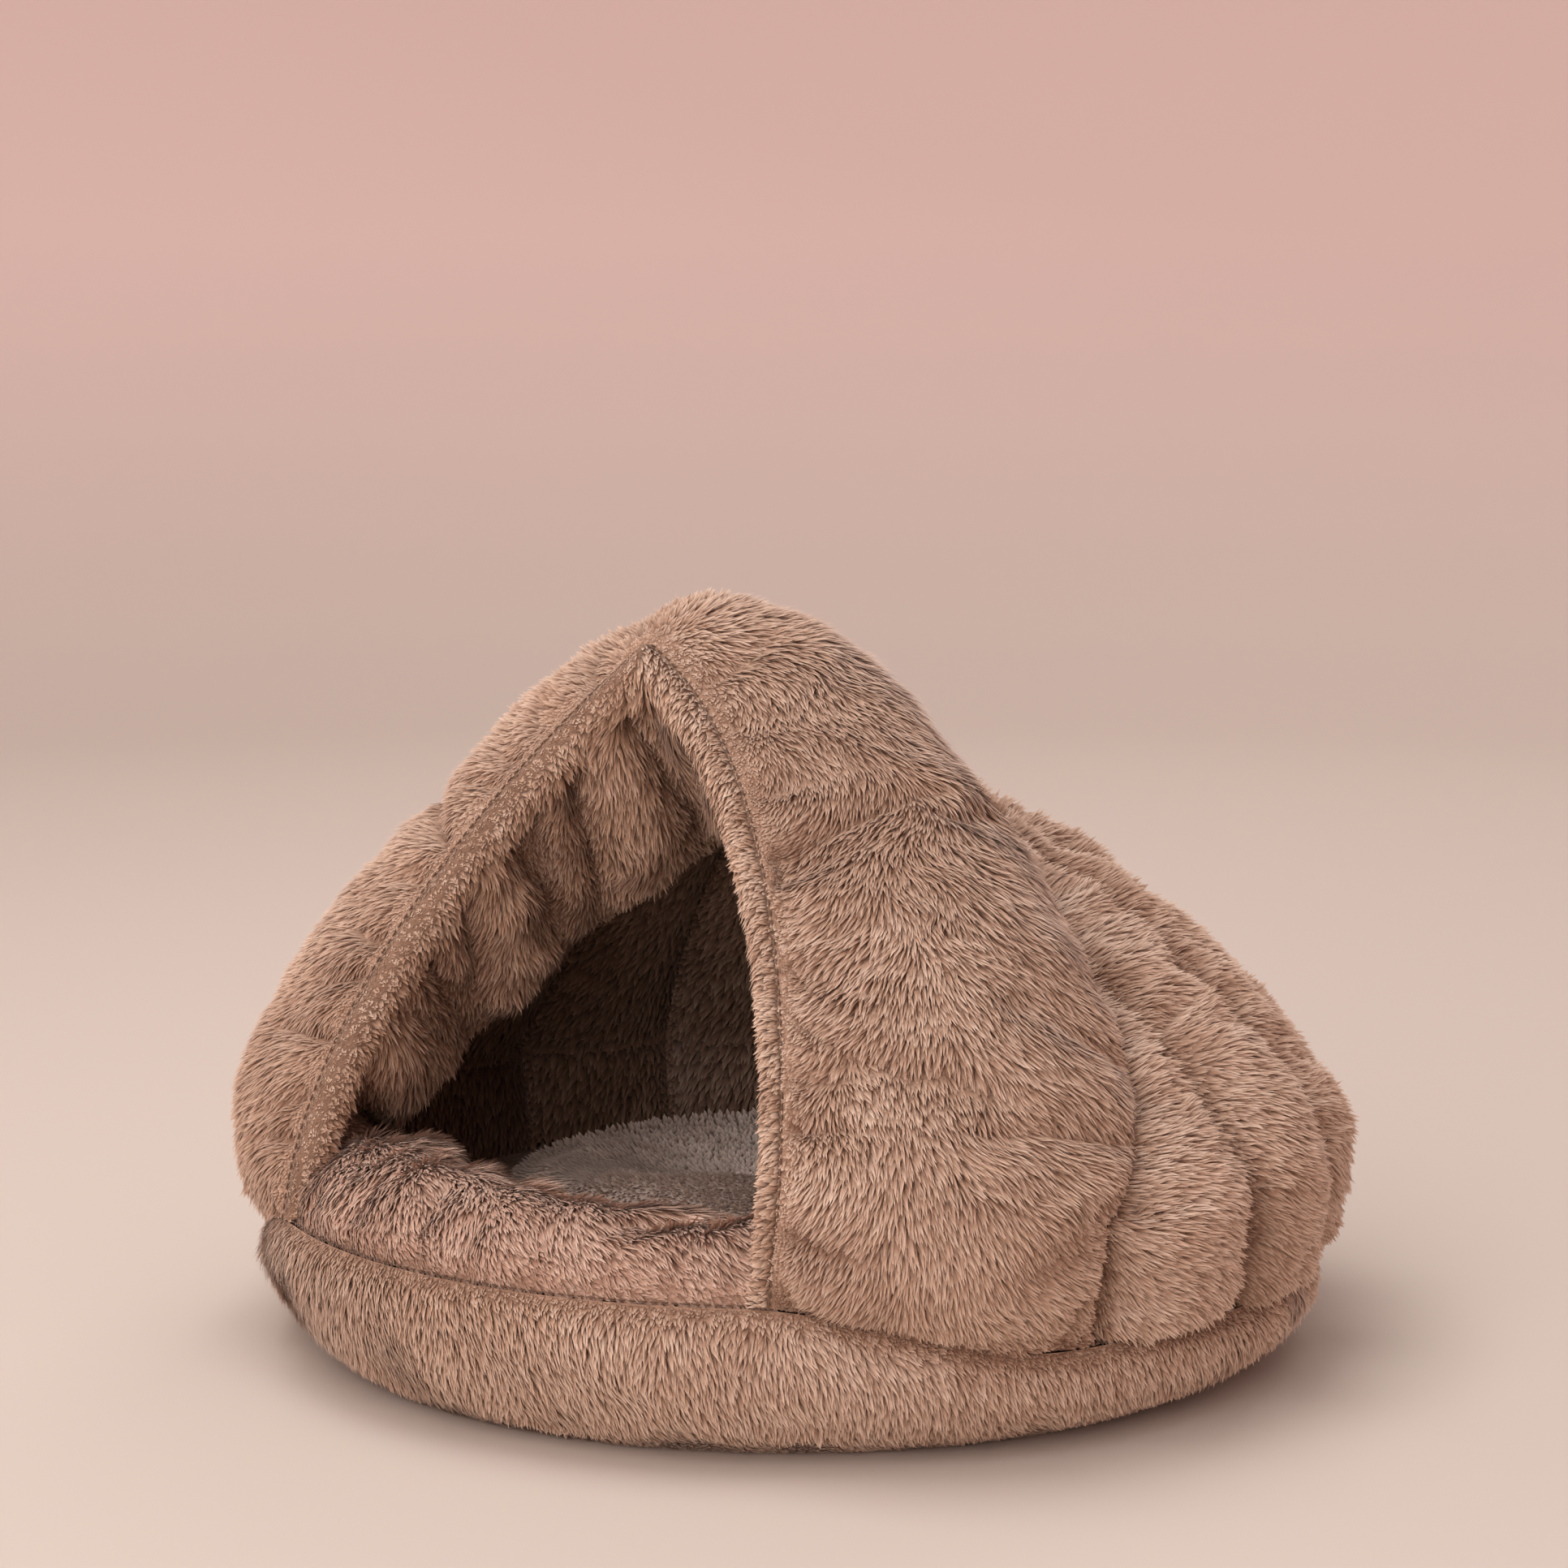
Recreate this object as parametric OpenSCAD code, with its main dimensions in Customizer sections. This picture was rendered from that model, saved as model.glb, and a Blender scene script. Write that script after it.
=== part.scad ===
// Hooded plush pet cave: a round padded base, a hood made of stuffed gores that
// meet at a crown, a thick arch round the entrance, a padded sill and a loose
// round cushion inside. The entrance faces -Y, the floor is z = 0.

/* [Base] */
// Radius of the round base at the rim seam
base_radius = 228; // [190:1:280]
// Height of the rim seam at the sides and the back
rim_height = 42; // [32:1:60]
// How much higher the rim seam runs under the entrance
sill_rise = 24; // [10:1:36]
// How far the underside tucks in from the rim seam
base_tuck = 34; // [20:1:50]
// How far the upholstered floor lies below the rim seam
floor_drop = 3; // [2:1:10]
// How far the rim seam is drawn in between the hood and the base
rim_pinch = 4; // [0:0.5:6]

/* [Hood] */
// Height of the rear hood where its gores come together
hood_height = 266; // [220:1:320]
// Height at which the hood is widest
belly_height = 94; // [70:1:120]
// How far the belly stands out past the rim seam
belly = 9; // [4:1:16]
// Distance from the middle of the base to the crown, towards the entrance
crown_forward = 10; // [0:1:40]
// Number of stuffed gores between the two legs of the arch
gore_count = 11; // [7:2:15]
// Thickness of a gore at its fullest
gore_thickness = 36; // [24:1:46]
// Depth of the creases between gores
crease_depth = 9; // [4:1:13]

/* [Entrance arch] */
// Angle from the front at which the entrance meets the rim
entrance_angle = 33; // [24:1:40]
// Angle from the front at which the arch ends and the gores begin
arch_angle = 67; // [58:1:78]
// How far the peak of the entrance stands above the rear hood
peak_rise = 37; // [15:1:60]
// Distance of that peak in front of the middle of the base
entrance_forward = 99; // [80:1:120]
// How far behind the middle the arch reaches at the top
arch_back = 16; // [5:1:40]
// How far the arch puffs out along its legs
arch_puff = 29; // [18:1:40]
// How far the arch puffs out over its top
arch_top_puff = 38; // [24:1:50]
// How far the lining of the arch puffs into the cave
lining_puff = 15; // [6:1:24]

/* [Sill] */
// How far the crest of the sill stands above the rim seam in front of it
sill_crown = 25; // [15:1:45]
// Width of the sill from the rim seam to its inner foot
sill_depth = 88; // [60:1:100]

/* [Cushion] */
// Thickness of the loose cushion at its middle
cushion_height = 46; // [30:1:60]
// Height of the cushion's side seam above its underside
cushion_seam = 17; // [10:1:24]
// Free space left round the cushion
cushion_clearance = 9; // [5:1:20]

/* [Fabric] */
// Thickness of the plush outside, backing and short pile together
plush = 3; // [2:0.5:4]
// Thickness of the plush lining
lining = 2.5; // [2:0.5:4]
// Thickness of the padded wall where it is sewn together at a seam
seam_thickness = 14; // [12:0.5:20]
// Thickness of the non-slip sheet under the base
sheet = 1.5; // [1:0.5:3]
// Air left between two layers and between neighbouring panels
layer_gap = 0.5; // [0.3:0.1:1]

/* [Hidden] */
SIDE_GORES = (gore_count - 1) / 2;
GORES = concat(
    [for (i = [1 : SIDE_GORES]) str("right_", i)],
    ["rear"],
    [for (i = [SIDE_GORES : -1 : 1]) str("left_", i)]
);

PLUSH_COLOUR = [0.69, 0.54, 0.44];
LINING_COLOUR = [0.6, 0.45, 0.36];
FIBRE_COLOUR = [0.95, 0.94, 0.9];
FOAM_COLOUR = [0.93, 0.88, 0.7];
CUSHION_COLOUR = [0.66, 0.6, 0.57];
SHEET_COLOUR = [0.25, 0.23, 0.22];

floor_height = rim_height - floor_drop;
entrance_height = hood_height + peak_rise;
sill_height = rim_height + sill_rise + sill_crown;
crown_y = -crown_forward;
belly_ratio = 1 + belly / base_radius;
gore_angle = (360 - 2 * arch_angle) / gore_count;
rise_from = entrance_angle - 3; // angles between which the rim seam comes down
rise_to = arch_angle - 3;       // from the sill to the side of the base
dome_power = 1.4;               // roundness of the hood's profile
dome_root = 0.78;
tuck_power = 2.2;               // how quickly the base rounds out from its underside
pinch_power = 6;                // how sharply a panel is drawn in at the rim seam
puff_power = 0.75;              // fullness of a stuffed panel between its seams
arch_lean = 1.3;                // moves the fullest line of the arch towards its rear seam
sill_lean = 0.9;                // moves the crest of the sill outwards
leg_share = 0.8;                // share of the arch seam above the belly
rim_wall = rim_pinch + seam_thickness + 8; // depth of a gore's lining below the dome at the rim
curve_steps = 8;                // steps in a quarter of the cushion's outline
round_steps = 96;
band_steps = 5;
ring_steps = 48;
gore_rows = 9;
gore_columns = 4;
arch_rows = 11;
arch_columns = 6;
sill_steps = 12;
sill_rows = 8;

// ---- small helpers ----
function unit(v) = v / norm(v);
function mix(a, b, t) = a * (1 - t) + b * t;
function ease(a, b, x) = let (t = min(1, max(0, (x - a) / (b - a)))) t * t * (3 - 2 * t);
function folded(angle) = angle > 180 ? 360 - angle : abs(angle);
function mirrored(p) = [-p.x, p.y, p.z];
function pillow(v) = pow(1 - pow(2 * v - 1, 2), puff_power);
function long_pillow(v) = pow(1 - pow(2 * v - 1, 4), puff_power);
function heading(angle) = [sin(angle), -cos(angle)];
function cubic(p, t) = pow(1 - t, 3) * p[0] + 3 * t * pow(1 - t, 2) * p[1]
    + 3 * t * t * (1 - t) * p[2] + pow(t, 3) * p[3];

// Faces of a grid of n by m points whose first point is number k
function grid_faces(n, m, k, turned) = [
    for (i = [0 : n - 2], j = [0 : m - 2], half = [0, 1])
        let (a = k + i * m + j, b = a + 1, c = a + m, d = c + 1,
             f = half == 0 ? [a, b, c] : [b, d, c])
            turned ? [f[2], f[1], f[0]] : f
];
function rim_loop(n, m) = concat(
    [for (j = [0 : m - 1]) j],
    [for (i = [1 : n - 1]) i * m + m - 1],
    [for (j = [m - 2 : -1 : 0]) (n - 1) * m + j],
    [for (i = [n - 2 : -1 : 1]) i * m]
);

// Closed wall between an outer and an inner grid of the same size
module wall(outer, inner) {
    n = len(outer);
    m = len(outer[0]);
    edge = rim_loop(n, m);
    count = len(edge);
    points = concat([for (row = outer) each row], [for (row = inner) each row]);
    sides = [
        for (i = [0 : count - 1], half = [0, 1])
            let (a = edge[i], b = edge[(i + 1) % count], c = a + n * m, d = b + n * m)
                half == 0 ? [a, c, b] : [b, c, d]
    ];
    polyhedron(points, concat(grid_faces(n, m, 0, false), grid_faces(n, m, n * m, true), sides));
}

// ---- shape of the hood ----
function rim_z(angle) = rim_height + sill_rise * (1 - ease(rise_from, rise_to, folded(angle)));

// Point on the rear hood: f is 0 at the crown, 1 at the belly and 2 at the rim seam
function dome(angle, f) =
    let (spread = f <= 1 ? f * belly_ratio : 1 + (belly_ratio - 1) * (1 - pow(f - 1, 2)),
         rise = hood_height - belly_height,
         z = f <= 1 ? belly_height + rise * pow(1 - pow(f, dome_power), dome_root)
                    : belly_height - (belly_height - rim_z(angle)) * (f - 1),
         flat = [0, crown_y] + (base_radius * heading(angle) - [0, crown_y]) * spread)
        [flat.x, flat.y, z];
// Outward direction there, turned level towards the rim seam
function dome_normal(angle, f) =
    let (along = dome(angle, min(2, f + 0.02)) - dome(angle, f - 0.02),
         across = dome(angle + 1, f) - dome(angle - 1, f),
         n = unit(cross(along, across)))
        unit([n.x, n.y, f > 1 ? n.z * (1 - pow(f - 1, 2)) : n.z]);

// The arch's rear seam is half an ellipse in plan, lying on the dome
seam_corner = dome(arch_angle, 1);
seam_half_width = seam_corner.x;
seam_length = arch_back - seam_corner.y;

// Where the ray from the crown at this angle crosses that ellipse, as a value of f
function seam_f(angle) =
    let (ray = (base_radius * heading(angle) - [0, crown_y]) * belly_ratio,
         start = crown_y - seam_corner.y,
         a = pow(ray.x / seam_half_width, 2) + pow(ray.y / seam_length, 2),
         b = 2 * start * ray.y / pow(seam_length, 2),
         c = pow(start / seam_length, 2) - 1)
        (-b + sqrt(b * b - 4 * a * c)) / (2 * a);

// Angle and f of a point of the arch's rear seam, a = 0 at the ridge and 1 at the rim
function seam_place(a) =
    a >= leg_share ? [arch_angle, 1 + (a - leg_share) / (1 - leg_share)] :
    let (turn = 90 * a / leg_share,
         x = seam_half_width * sin(turn),
         y = seam_corner.y + seam_length * cos(turn) - crown_y,
         qa = x * x + y * y,
         qb = 2 * y * crown_y,
         qc = crown_y * crown_y - base_radius * base_radius,
         k = (-qb + sqrt(qb * qb - 4 * qa * qc)) / (2 * qa),
         f = min(1, 1 / (k * belly_ratio)))
        [atan2(x * k, -(y * k + crown_y)), f];
function seam_point(a, depth) =
    a < 0 ? mirrored(seam_point(-a, depth)) :
    let (place = seam_place(a)) dome(place[0], place[1]) - depth * dome_normal(place[0], place[1]);

// The entrance edge runs from its peak to the rim in one curve
entrance_foot = concat((base_radius - rim_pinch) * heading(entrance_angle), [rim_z(entrance_angle)]);
entrance_peak = [0, -entrance_forward, entrance_height];
// How the edge sets off from its peak, and how steeply it comes down to its foot
peak_pull = [62, 7, -41];
foot_pull = [2, 18, 0.4 * (entrance_height - rim_z(entrance_angle))];
entrance_curve = [entrance_peak, entrance_peak + peak_pull, entrance_foot + foot_pull, entrance_foot];
function entrance_point(a) = a < 0 ? mirrored(entrance_point(-a)) : cubic(entrance_curve, a);

// ---- entrance arch ----
function arch_normal(a) =
    let (d = 0.02,
         low = max(-1, a - d),
         high = min(1, a + d),
         chord = seam_point(a, 0) - entrance_point(a),
         along = entrance_point(high) + seam_point(high, 0) - entrance_point(low) - seam_point(low, 0))
        unit(cross(along, chord));
// Puff of the arch at a, fading to what keeps its foot on the round rim
foot_puff = base_radius * (1 - cos((arch_angle - entrance_angle) / 2));
function arch_swell(a) = foot_puff + (arch_puff - foot_puff) * sqrt(1 - pow(abs(a), pinch_power))
    + (arch_top_puff - arch_puff) * (1 - ease(0, 0.5, abs(a)));
function arch_outer(a, v) =
    mix(entrance_point(a), seam_point(a, crease_depth), v)
        + arch_normal(a) * arch_swell(a) * pillow(pow(v, arch_lean));
function arch_inner(a, v) =
    mix(entrance_point(a) - arch_normal(a) * seam_thickness,
        seam_point(a, crease_depth + seam_thickness), v)
        - arch_normal(a) * lining_puff * pillow(v) * long_pillow((a + 1) / 2);

// ---- rear gores ----
function gore_angle_at(k, v) =
    let (gap = layer_gap / 2 / base_radius * 180 / PI,
         start = arch_angle + k * gore_angle)
        mix(start + gap, start + gore_angle - gap, v);
tip_gap = 4 * layer_gap; // room between the tip of a gore and the arch
function gore_f(angle, row) =
    let (seam = seam_f(folded(angle)) + tip_gap / base_radius)
        mix(seam, 2, row / gore_rows);
// Depth of a layer below the dome: gores are pinched at their creases, their tip and the rim
function gore_depth(k, v, row, inside) =
    let (t = row / gore_rows,
         puff = pillow(v) * (t < 0.5 ? long_pillow(t) : 1),
         pinch = pow(t, pinch_power))
        inside ? mix(crease_depth + seam_thickness, mix(gore_thickness, rim_wall, pinch), puff)
               : mix(crease_depth, rim_pinch * pinch, puff);
function gore_point(k, v, row, inside) =
    let (angle = gore_angle_at(k, v), f = gore_f(angle, row))
        dome(angle, f) - dome_normal(angle, f) * gore_depth(k, v, row, inside);

// ---- layers of a padded wall, measured from its two faces ----
function deeper(outer, inner, depth) = outer + unit(inner - outer) * depth;
function layered(outer, inner, depth) = [
    for (i = [0 : len(outer) - 1])
        [for (j = [0 : len(outer[0]) - 1]) deeper(outer[i][j], inner[i][j], depth)]
];
module cover_of(outer, inner) wall(outer, layered(outer, inner, plush));
module stuffing_of(outer, inner)
    wall(layered(outer, inner, plush + layer_gap), layered(inner, outer, lining + layer_gap));
module lining_of(outer, inner) wall(layered(inner, outer, lining), inner);

function arch_grid(inside) = [
    for (i = [-arch_rows : arch_rows])
        [for (j = [0 : arch_columns])
            let (a = i / arch_rows, v = j / arch_columns)
                inside ? arch_inner(a, v) : arch_outer(a, v)]
];
function gore_grid(k, inside) = [
    for (row = [0 : gore_rows])
        [for (j = [0 : gore_columns]) gore_point(k, j / gore_columns, row, inside)]
];

// ---- base ----
function band_radius(angle, z) =
    let (s = z / rim_z(angle))
        base_radius - base_tuck * pow(1 - s, tuck_power) - rim_pinch * pow(s, pinch_power);
function band_section(angle) =
    let (top = rim_z(angle) - 2 * layer_gap,
         heights = [for (i = [0 : band_steps]) top * i / band_steps])
        concat(
            [for (z = heights) concat(band_radius(angle, z) * heading(angle), [z])],
            [for (i = [band_steps : -1 : 0])
                let (z = heights[i]) concat((band_radius(angle, z) - plush) * heading(angle), [z])]
        );
// Closed section swept once round the base
module hoop(sections) {
    n = len(sections);
    m = len(sections[0]);
    faces = [
        for (i = [0 : n - 1], j = [0 : m - 1], half = [0, 1])
            let (a = i * m + j, b = i * m + (j + 1) % m,
                 c = (i + 1) % n * m + j, d = (i + 1) % n * m + (j + 1) % m)
                half == 0 ? [a, b, c] : [b, d, c]
    ];
    polyhedron([for (section = sections) each section], faces);
}
module base_band() color(PLUSH_COLOUR)
    hoop([for (i = [0 : ring_steps - 1]) band_section(i * 360 / ring_steps)]);

sheet_radius = base_radius - base_tuck - plush - layer_gap;
module base_sheet() color(SHEET_COLOUR) cylinder(h = sheet, r = sheet_radius, $fn = round_steps);

// The foam fills the band up to the floor
foam_bottom = sheet + layer_gap;
foam_top = floor_height - lining - layer_gap;
function foam_radius(z) = band_radius(0, z) - plush - 2 * layer_gap;
module base_foam() color(FOAM_COLOUR) rotate_extrude($fn = round_steps) polygon(concat(
    [[0, foam_bottom]],
    [for (i = [0 : band_steps])
        let (z = mix(foam_bottom, foam_top, i / band_steps)) [foam_radius(z), z]],
    [[0, foam_top]]
));
module floor_cover() color(LINING_COLOUR)
    translate([0, 0, floor_height - lining])
        cylinder(h = lining, r = foam_radius(foam_top), $fn = round_steps);

// ---- sill ----
sill_foot = base_radius - sill_depth;
rim_play = 1.4;  // angle left between the sill and the foot of the arch at the rim
inner_spread = 7; // and the angle by which the sill is wider inside than at the rim
function sill_angle(w) = entrance_angle - rim_play + inner_spread * ease(0.1, 0.8, w);
crest_place = 0.45; // share of the sill's depth at which its crest lies
// Surface of the sill: t runs from side to side, w from the rim seam to the inner foot
function sill_point(t, w, inset) =
    let (angle = t * sill_angle(w),
         r = mix(base_radius - rim_pinch - inset, sill_foot + inset, w),
         low = mix(rim_z(angle), floor_height + layer_gap, w) + plush,
         swell = sill_height - mix(rim_z(0), floor_height, crest_place) - plush)
        concat(r * heading(angle), [low + swell * pillow(pow(w, sill_lean)) - inset]);
function sill_underside(t, w) =
    let (angle = t * sill_angle(w),
         r = mix(foam_radius(floor_height), sill_foot + plush + layer_gap, w))
        concat(r * heading(angle), [floor_height + layer_gap]);
function sill_grid(inset) = [
    for (i = [-sill_steps / 2 : sill_steps / 2])
        [for (j = [0 : sill_rows]) sill_point(2 * i / sill_steps, j / sill_rows, inset)]
];
module sill_cover() color(PLUSH_COLOUR) wall(sill_grid(0), sill_grid(plush));
module sill_stuffing() color(FIBRE_COLOUR) wall(
    sill_grid(plush + layer_gap),
    [for (i = [-sill_steps / 2 : sill_steps / 2])
        [for (j = [0 : sill_rows]) sill_underside(2 * i / sill_steps, j / sill_rows)]]
);

// ---- loose cushion ----
rear_wall = base_radius + belly / 2 - gore_thickness;
cushion_radius = (rear_wall + sill_foot) / 2 - cushion_clearance;
cushion_y = (rear_wall - sill_foot) / 2;
cushion_bottom = floor_height + layer_gap;
side_power = 0.7; // below 1 these flatten the cushion's top and square its sides
top_power = 0.8;
// Profile of the cushion above or below its side seam, from the seam to the middle
function cushion_curve(height, inset) = [
    for (i = [0 : curve_steps])
        let (turn = 90 * i / curve_steps)
            [(cushion_radius - inset) * pow(cos(turn), side_power),
             (height - inset) * pow(sin(turn), top_power)]
];
module cushion_skin(height) rotate_extrude($fn = round_steps) polygon(concat(
    cushion_curve(height, 0),
    [for (i = [curve_steps : -1 : 0]) cushion_curve(height, plush)[i]]
));
module on_the_floor() translate([0, cushion_y, cushion_bottom]) children();
module cushion_top() color(CUSHION_COLOUR) on_the_floor()
    translate([0, 0, cushion_seam]) cushion_skin(cushion_height - cushion_seam);
module cushion_underside() color(CUSHION_COLOUR) on_the_floor()
    translate([0, 0, cushion_seam - layer_gap]) mirror([0, 0, 1]) cushion_skin(cushion_seam - layer_gap);
module cushion_filling() color(FIBRE_COLOUR) on_the_floor()
    translate([0, 0, cushion_seam]) rotate_extrude($fn = round_steps) polygon(concat(
        [for (p = cushion_curve(cushion_height - cushion_seam, plush + layer_gap)) p],
        [for (i = [curve_steps - 1 : -1 : 0])
            let (p = cushion_curve(cushion_seam, plush + layer_gap)[i]) [p.x, -p.y]]
    ));

// ---- arch and gores as solids ----
module arch_cover() color(PLUSH_COLOUR) cover_of(arch_grid(false), arch_grid(true));
module arch_stuffing() color(FIBRE_COLOUR) stuffing_of(arch_grid(false), arch_grid(true));
module arch_lining() color(LINING_COLOUR) lining_of(arch_grid(false), arch_grid(true));
// The gores on the left are mirror images of those on the right
module in_place(k) mirror([k > SIDE_GORES ? 1 : 0, 0, 0]) children();
function twin(k) = min(k, gore_count - 1 - k);
module gore_cover(k) color(PLUSH_COLOUR) in_place(k)
    cover_of(gore_grid(twin(k), false), gore_grid(twin(k), true));
module gore_stuffing(k) color(FIBRE_COLOUR) in_place(k)
    stuffing_of(gore_grid(twin(k), false), gore_grid(twin(k), true));
module gore_lining(k) color(LINING_COLOUR) in_place(k)
    lining_of(gore_grid(twin(k), false), gore_grid(twin(k), true));

base_sheet();
base_band();
base_foam();
floor_cover();
sill_cover();
sill_stuffing();
arch_cover();
arch_stuffing();
arch_lining();
for (k = [0 : gore_count - 1]) {
    gore_cover(k);
    gore_stuffing(k);
    gore_lining(k);
}
cushion_top();
cushion_underside();
cushion_filling();
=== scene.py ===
"""Looks of the hooded plush pet cave: skins, pile, seams, cushion and the studio round it."""

import bmesh
import bpy
import numpy as np
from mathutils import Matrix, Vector


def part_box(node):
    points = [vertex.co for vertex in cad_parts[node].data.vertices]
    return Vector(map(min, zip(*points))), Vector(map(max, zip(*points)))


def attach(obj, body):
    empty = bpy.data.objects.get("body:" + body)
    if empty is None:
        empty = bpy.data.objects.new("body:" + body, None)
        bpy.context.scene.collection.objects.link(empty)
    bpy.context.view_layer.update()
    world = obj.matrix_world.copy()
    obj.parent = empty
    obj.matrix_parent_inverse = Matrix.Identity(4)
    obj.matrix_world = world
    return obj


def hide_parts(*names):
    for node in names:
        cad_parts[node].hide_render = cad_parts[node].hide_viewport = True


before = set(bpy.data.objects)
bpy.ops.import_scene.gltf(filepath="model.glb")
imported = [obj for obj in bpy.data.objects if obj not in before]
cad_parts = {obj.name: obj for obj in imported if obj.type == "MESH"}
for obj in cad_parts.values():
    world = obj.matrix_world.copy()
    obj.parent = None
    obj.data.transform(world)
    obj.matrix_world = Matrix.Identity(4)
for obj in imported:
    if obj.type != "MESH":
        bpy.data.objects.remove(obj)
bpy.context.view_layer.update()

# ---- sizes, in metres and degrees ----
RIM_RADIUS = 0.228            # round base at its rim seam
RIM_SIDE = 0.042              # height of that seam at the sides and back
RIM_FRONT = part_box("base_band")[1].z + 0.001  # and under the entrance
BASE_TUCK = 0.034             # how far the base draws in below the rim seam
BASE_CURVE = 2.1              # how full the side of the base is
RIM_PINCH = 0.004             # how far cloth draws in at the rim seam
BELLY_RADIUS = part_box("gore_cover_rear")[1].y
BELLY_HEIGHT = 0.094          # widest place of the hood
HOOD_HEIGHT = 0.266
CROWN_Y = -0.010              # where the gores meet
GORES = [n[len("gore_cover_"):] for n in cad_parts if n.startswith("gore_cover_")]
SIDE_GORES = (len(GORES) - 1) // 2
ENTRANCE_ANGLE = 33           # each foot of the entrance, from the middle of the front
ARCH_ANGLE = 67               # each rear corner of the arch, from there too
ARCH_BACK = 0.016             # how far behind the origin the rear seam of the arch runs
PEAK = np.array([0, -0.099, 0.303])
PEAK_PULL = np.array([0.062, 0.007, -0.041])  # which way the entrance edge leaves its peak
FOOT_PULL = np.array([0.002, 0.018, 0.094])   # and which way it arrives at its foot
ARCH_PUFF = 0.029             # how far the arch swells out on its legs
ARCH_TOP_PUFF = 0.038         # and at its ridge
LINING_PUFF = 0.015
CREASE = 0.011                # depth of the creases between gores
SEAM_WALL = 0.014             # thickness of the wall where it is sewn
GORE_THICKNESS = 0.036        # thickness of a gore at its middle
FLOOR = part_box("floor_cover")[1].z
SILL_DEPTH = 0.088            # of the sill, from the rim seam inwards
SILL_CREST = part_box("sill_cover")[1].z
LEG_SHARE = 0.8               # share of the arch's rear seam that lies above its legs
PANEL_PRESSURE = 2.5
CUSHION_PRESSURE = 4.0
CLOTH_FRAMES = 20             # steps after which the swelling cloth is kept

BED, CUSHION = "bed", "cushion"


# ---- shape of the bed, on arrays ----
def ease(low, high, x):
    """Rises smoothly from 0 at low to 1 at high."""
    t = np.clip((x - low) / (high - low), 0, 1)
    return t * t * (3 - 2 * t)


def mix(a, b, t):
    return a * (1 - t) + b * t


def pillow(v):
    """Crown of a stuffed panel: 0 at both seams and 1 in the middle."""
    return np.clip(1 - (2 * v - 1) ** 2, 0, 1) ** 0.75


def long_pillow(v):
    """The same for a long panel, flatter along its middle."""
    return np.clip(1 - (2 * v - 1) ** 4, 0, 1) ** 0.75


def unit(vectors):
    return vectors / np.maximum(np.linalg.norm(vectors, axis=-1, keepdims=True), 1e-12)


def heading(angle):
    """Direction in plan: 0 degrees is the front, 90 the right side."""
    turn = np.radians(angle)
    return np.stack([np.sin(turn), -np.cos(turn)], -1)


def rim_z(angle):
    """Height of the rim seam, which rises under the entrance."""
    folded = np.where(angle > 180, 360 - angle, np.abs(angle))
    return RIM_SIDE + (RIM_FRONT - RIM_SIDE) * (1 - ease(ENTRANCE_ANGLE - 3, ARCH_ANGLE - 3, folded))


def dome(angle, f):
    """Point on the rear hood: f is 0 at the crown, 1 at the belly and 2 at the rim seam."""
    angle, f = np.broadcast_arrays(np.asarray(angle, float), np.asarray(f, float))
    belly = BELLY_RADIUS / RIM_RADIUS
    low = np.clip(f - 1, 0, 1)
    high = np.clip(f, 0, 1)
    spread = np.where(f <= 1, high * belly, 1 + (belly - 1) * (1 - low ** 2))
    top = BELLY_HEIGHT + (HOOD_HEIGHT - BELLY_HEIGHT) * (1 - high ** 1.4) ** 0.78
    z = np.where(f <= 1, top, BELLY_HEIGHT - (BELLY_HEIGHT - rim_z(angle)) * low)
    crown = np.array([0, CROWN_Y])
    flat = crown + (RIM_RADIUS * heading(angle) - crown) * spread[..., None]
    return np.concatenate([flat, z[..., None]], -1)


def dome_normal(angle, f):
    along = dome(angle, np.minimum(2, f + 0.02)) - dome(angle, f - 0.02)
    across = dome(angle + 1, f) - dome(angle - 1, f)
    n = unit(np.cross(along, across))
    low = np.clip(f - 1, 0, 1)
    n[..., 2] *= 1 - low ** 2
    return unit(n)


def seam_shape():
    """Half oval of the arch's rear seam in plan: its half width, its length and the y of its corners."""
    corner = dome(ARCH_ANGLE, 1.0)
    return corner[0], ARCH_BACK - corner[1], corner[1]


def seam_f(angle):
    """Where the ray from the crown at this angle meets the rear seam of the arch."""
    half, length, corner_y = seam_shape()
    crown = np.array([0, CROWN_Y])
    ray = (RIM_RADIUS * heading(angle) - crown) * (BELLY_RADIUS / RIM_RADIUS)
    start = CROWN_Y - corner_y
    a = (ray[..., 0] / half) ** 2 + (ray[..., 1] / length) ** 2
    b = 2 * start * ray[..., 1] / length ** 2
    c = (start / length) ** 2 - 1
    return (-b + np.sqrt(b * b - 4 * a * c)) / (2 * a)


def seam_point(a, depth):
    """Rear seam of the arch: a is 0 at the ridge, 1 at the rim on the right and -1 on the left."""
    side = np.where(a < 0, -1.0, 1.0)
    a = np.abs(a)
    half, length, corner_y = seam_shape()
    turn = np.radians(90 * np.minimum(a, LEG_SHARE) / LEG_SHARE)
    x = np.maximum(half * np.sin(turn), 1e-9)
    y = corner_y + length * np.cos(turn) - CROWN_Y
    qa, qb, qc = x * x + y * y, 2 * y * CROWN_Y, CROWN_Y ** 2 - RIM_RADIUS ** 2
    k = (-qb + np.sqrt(qb * qb - 4 * qa * qc)) / (2 * qa)
    angle = np.degrees(np.arctan2(x * k, -(y * k + CROWN_Y)))
    f = np.minimum(1, RIM_RADIUS / (k * BELLY_RADIUS))
    low = a >= LEG_SHARE
    angle = np.where(low, ARCH_ANGLE, angle)
    f = np.where(low, 1 + (a - LEG_SHARE) / (1 - LEG_SHARE), f)
    points = dome(angle, f) - dome_normal(angle, f) * np.asarray(depth)[..., None]
    points[..., 0] *= side
    return points


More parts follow.
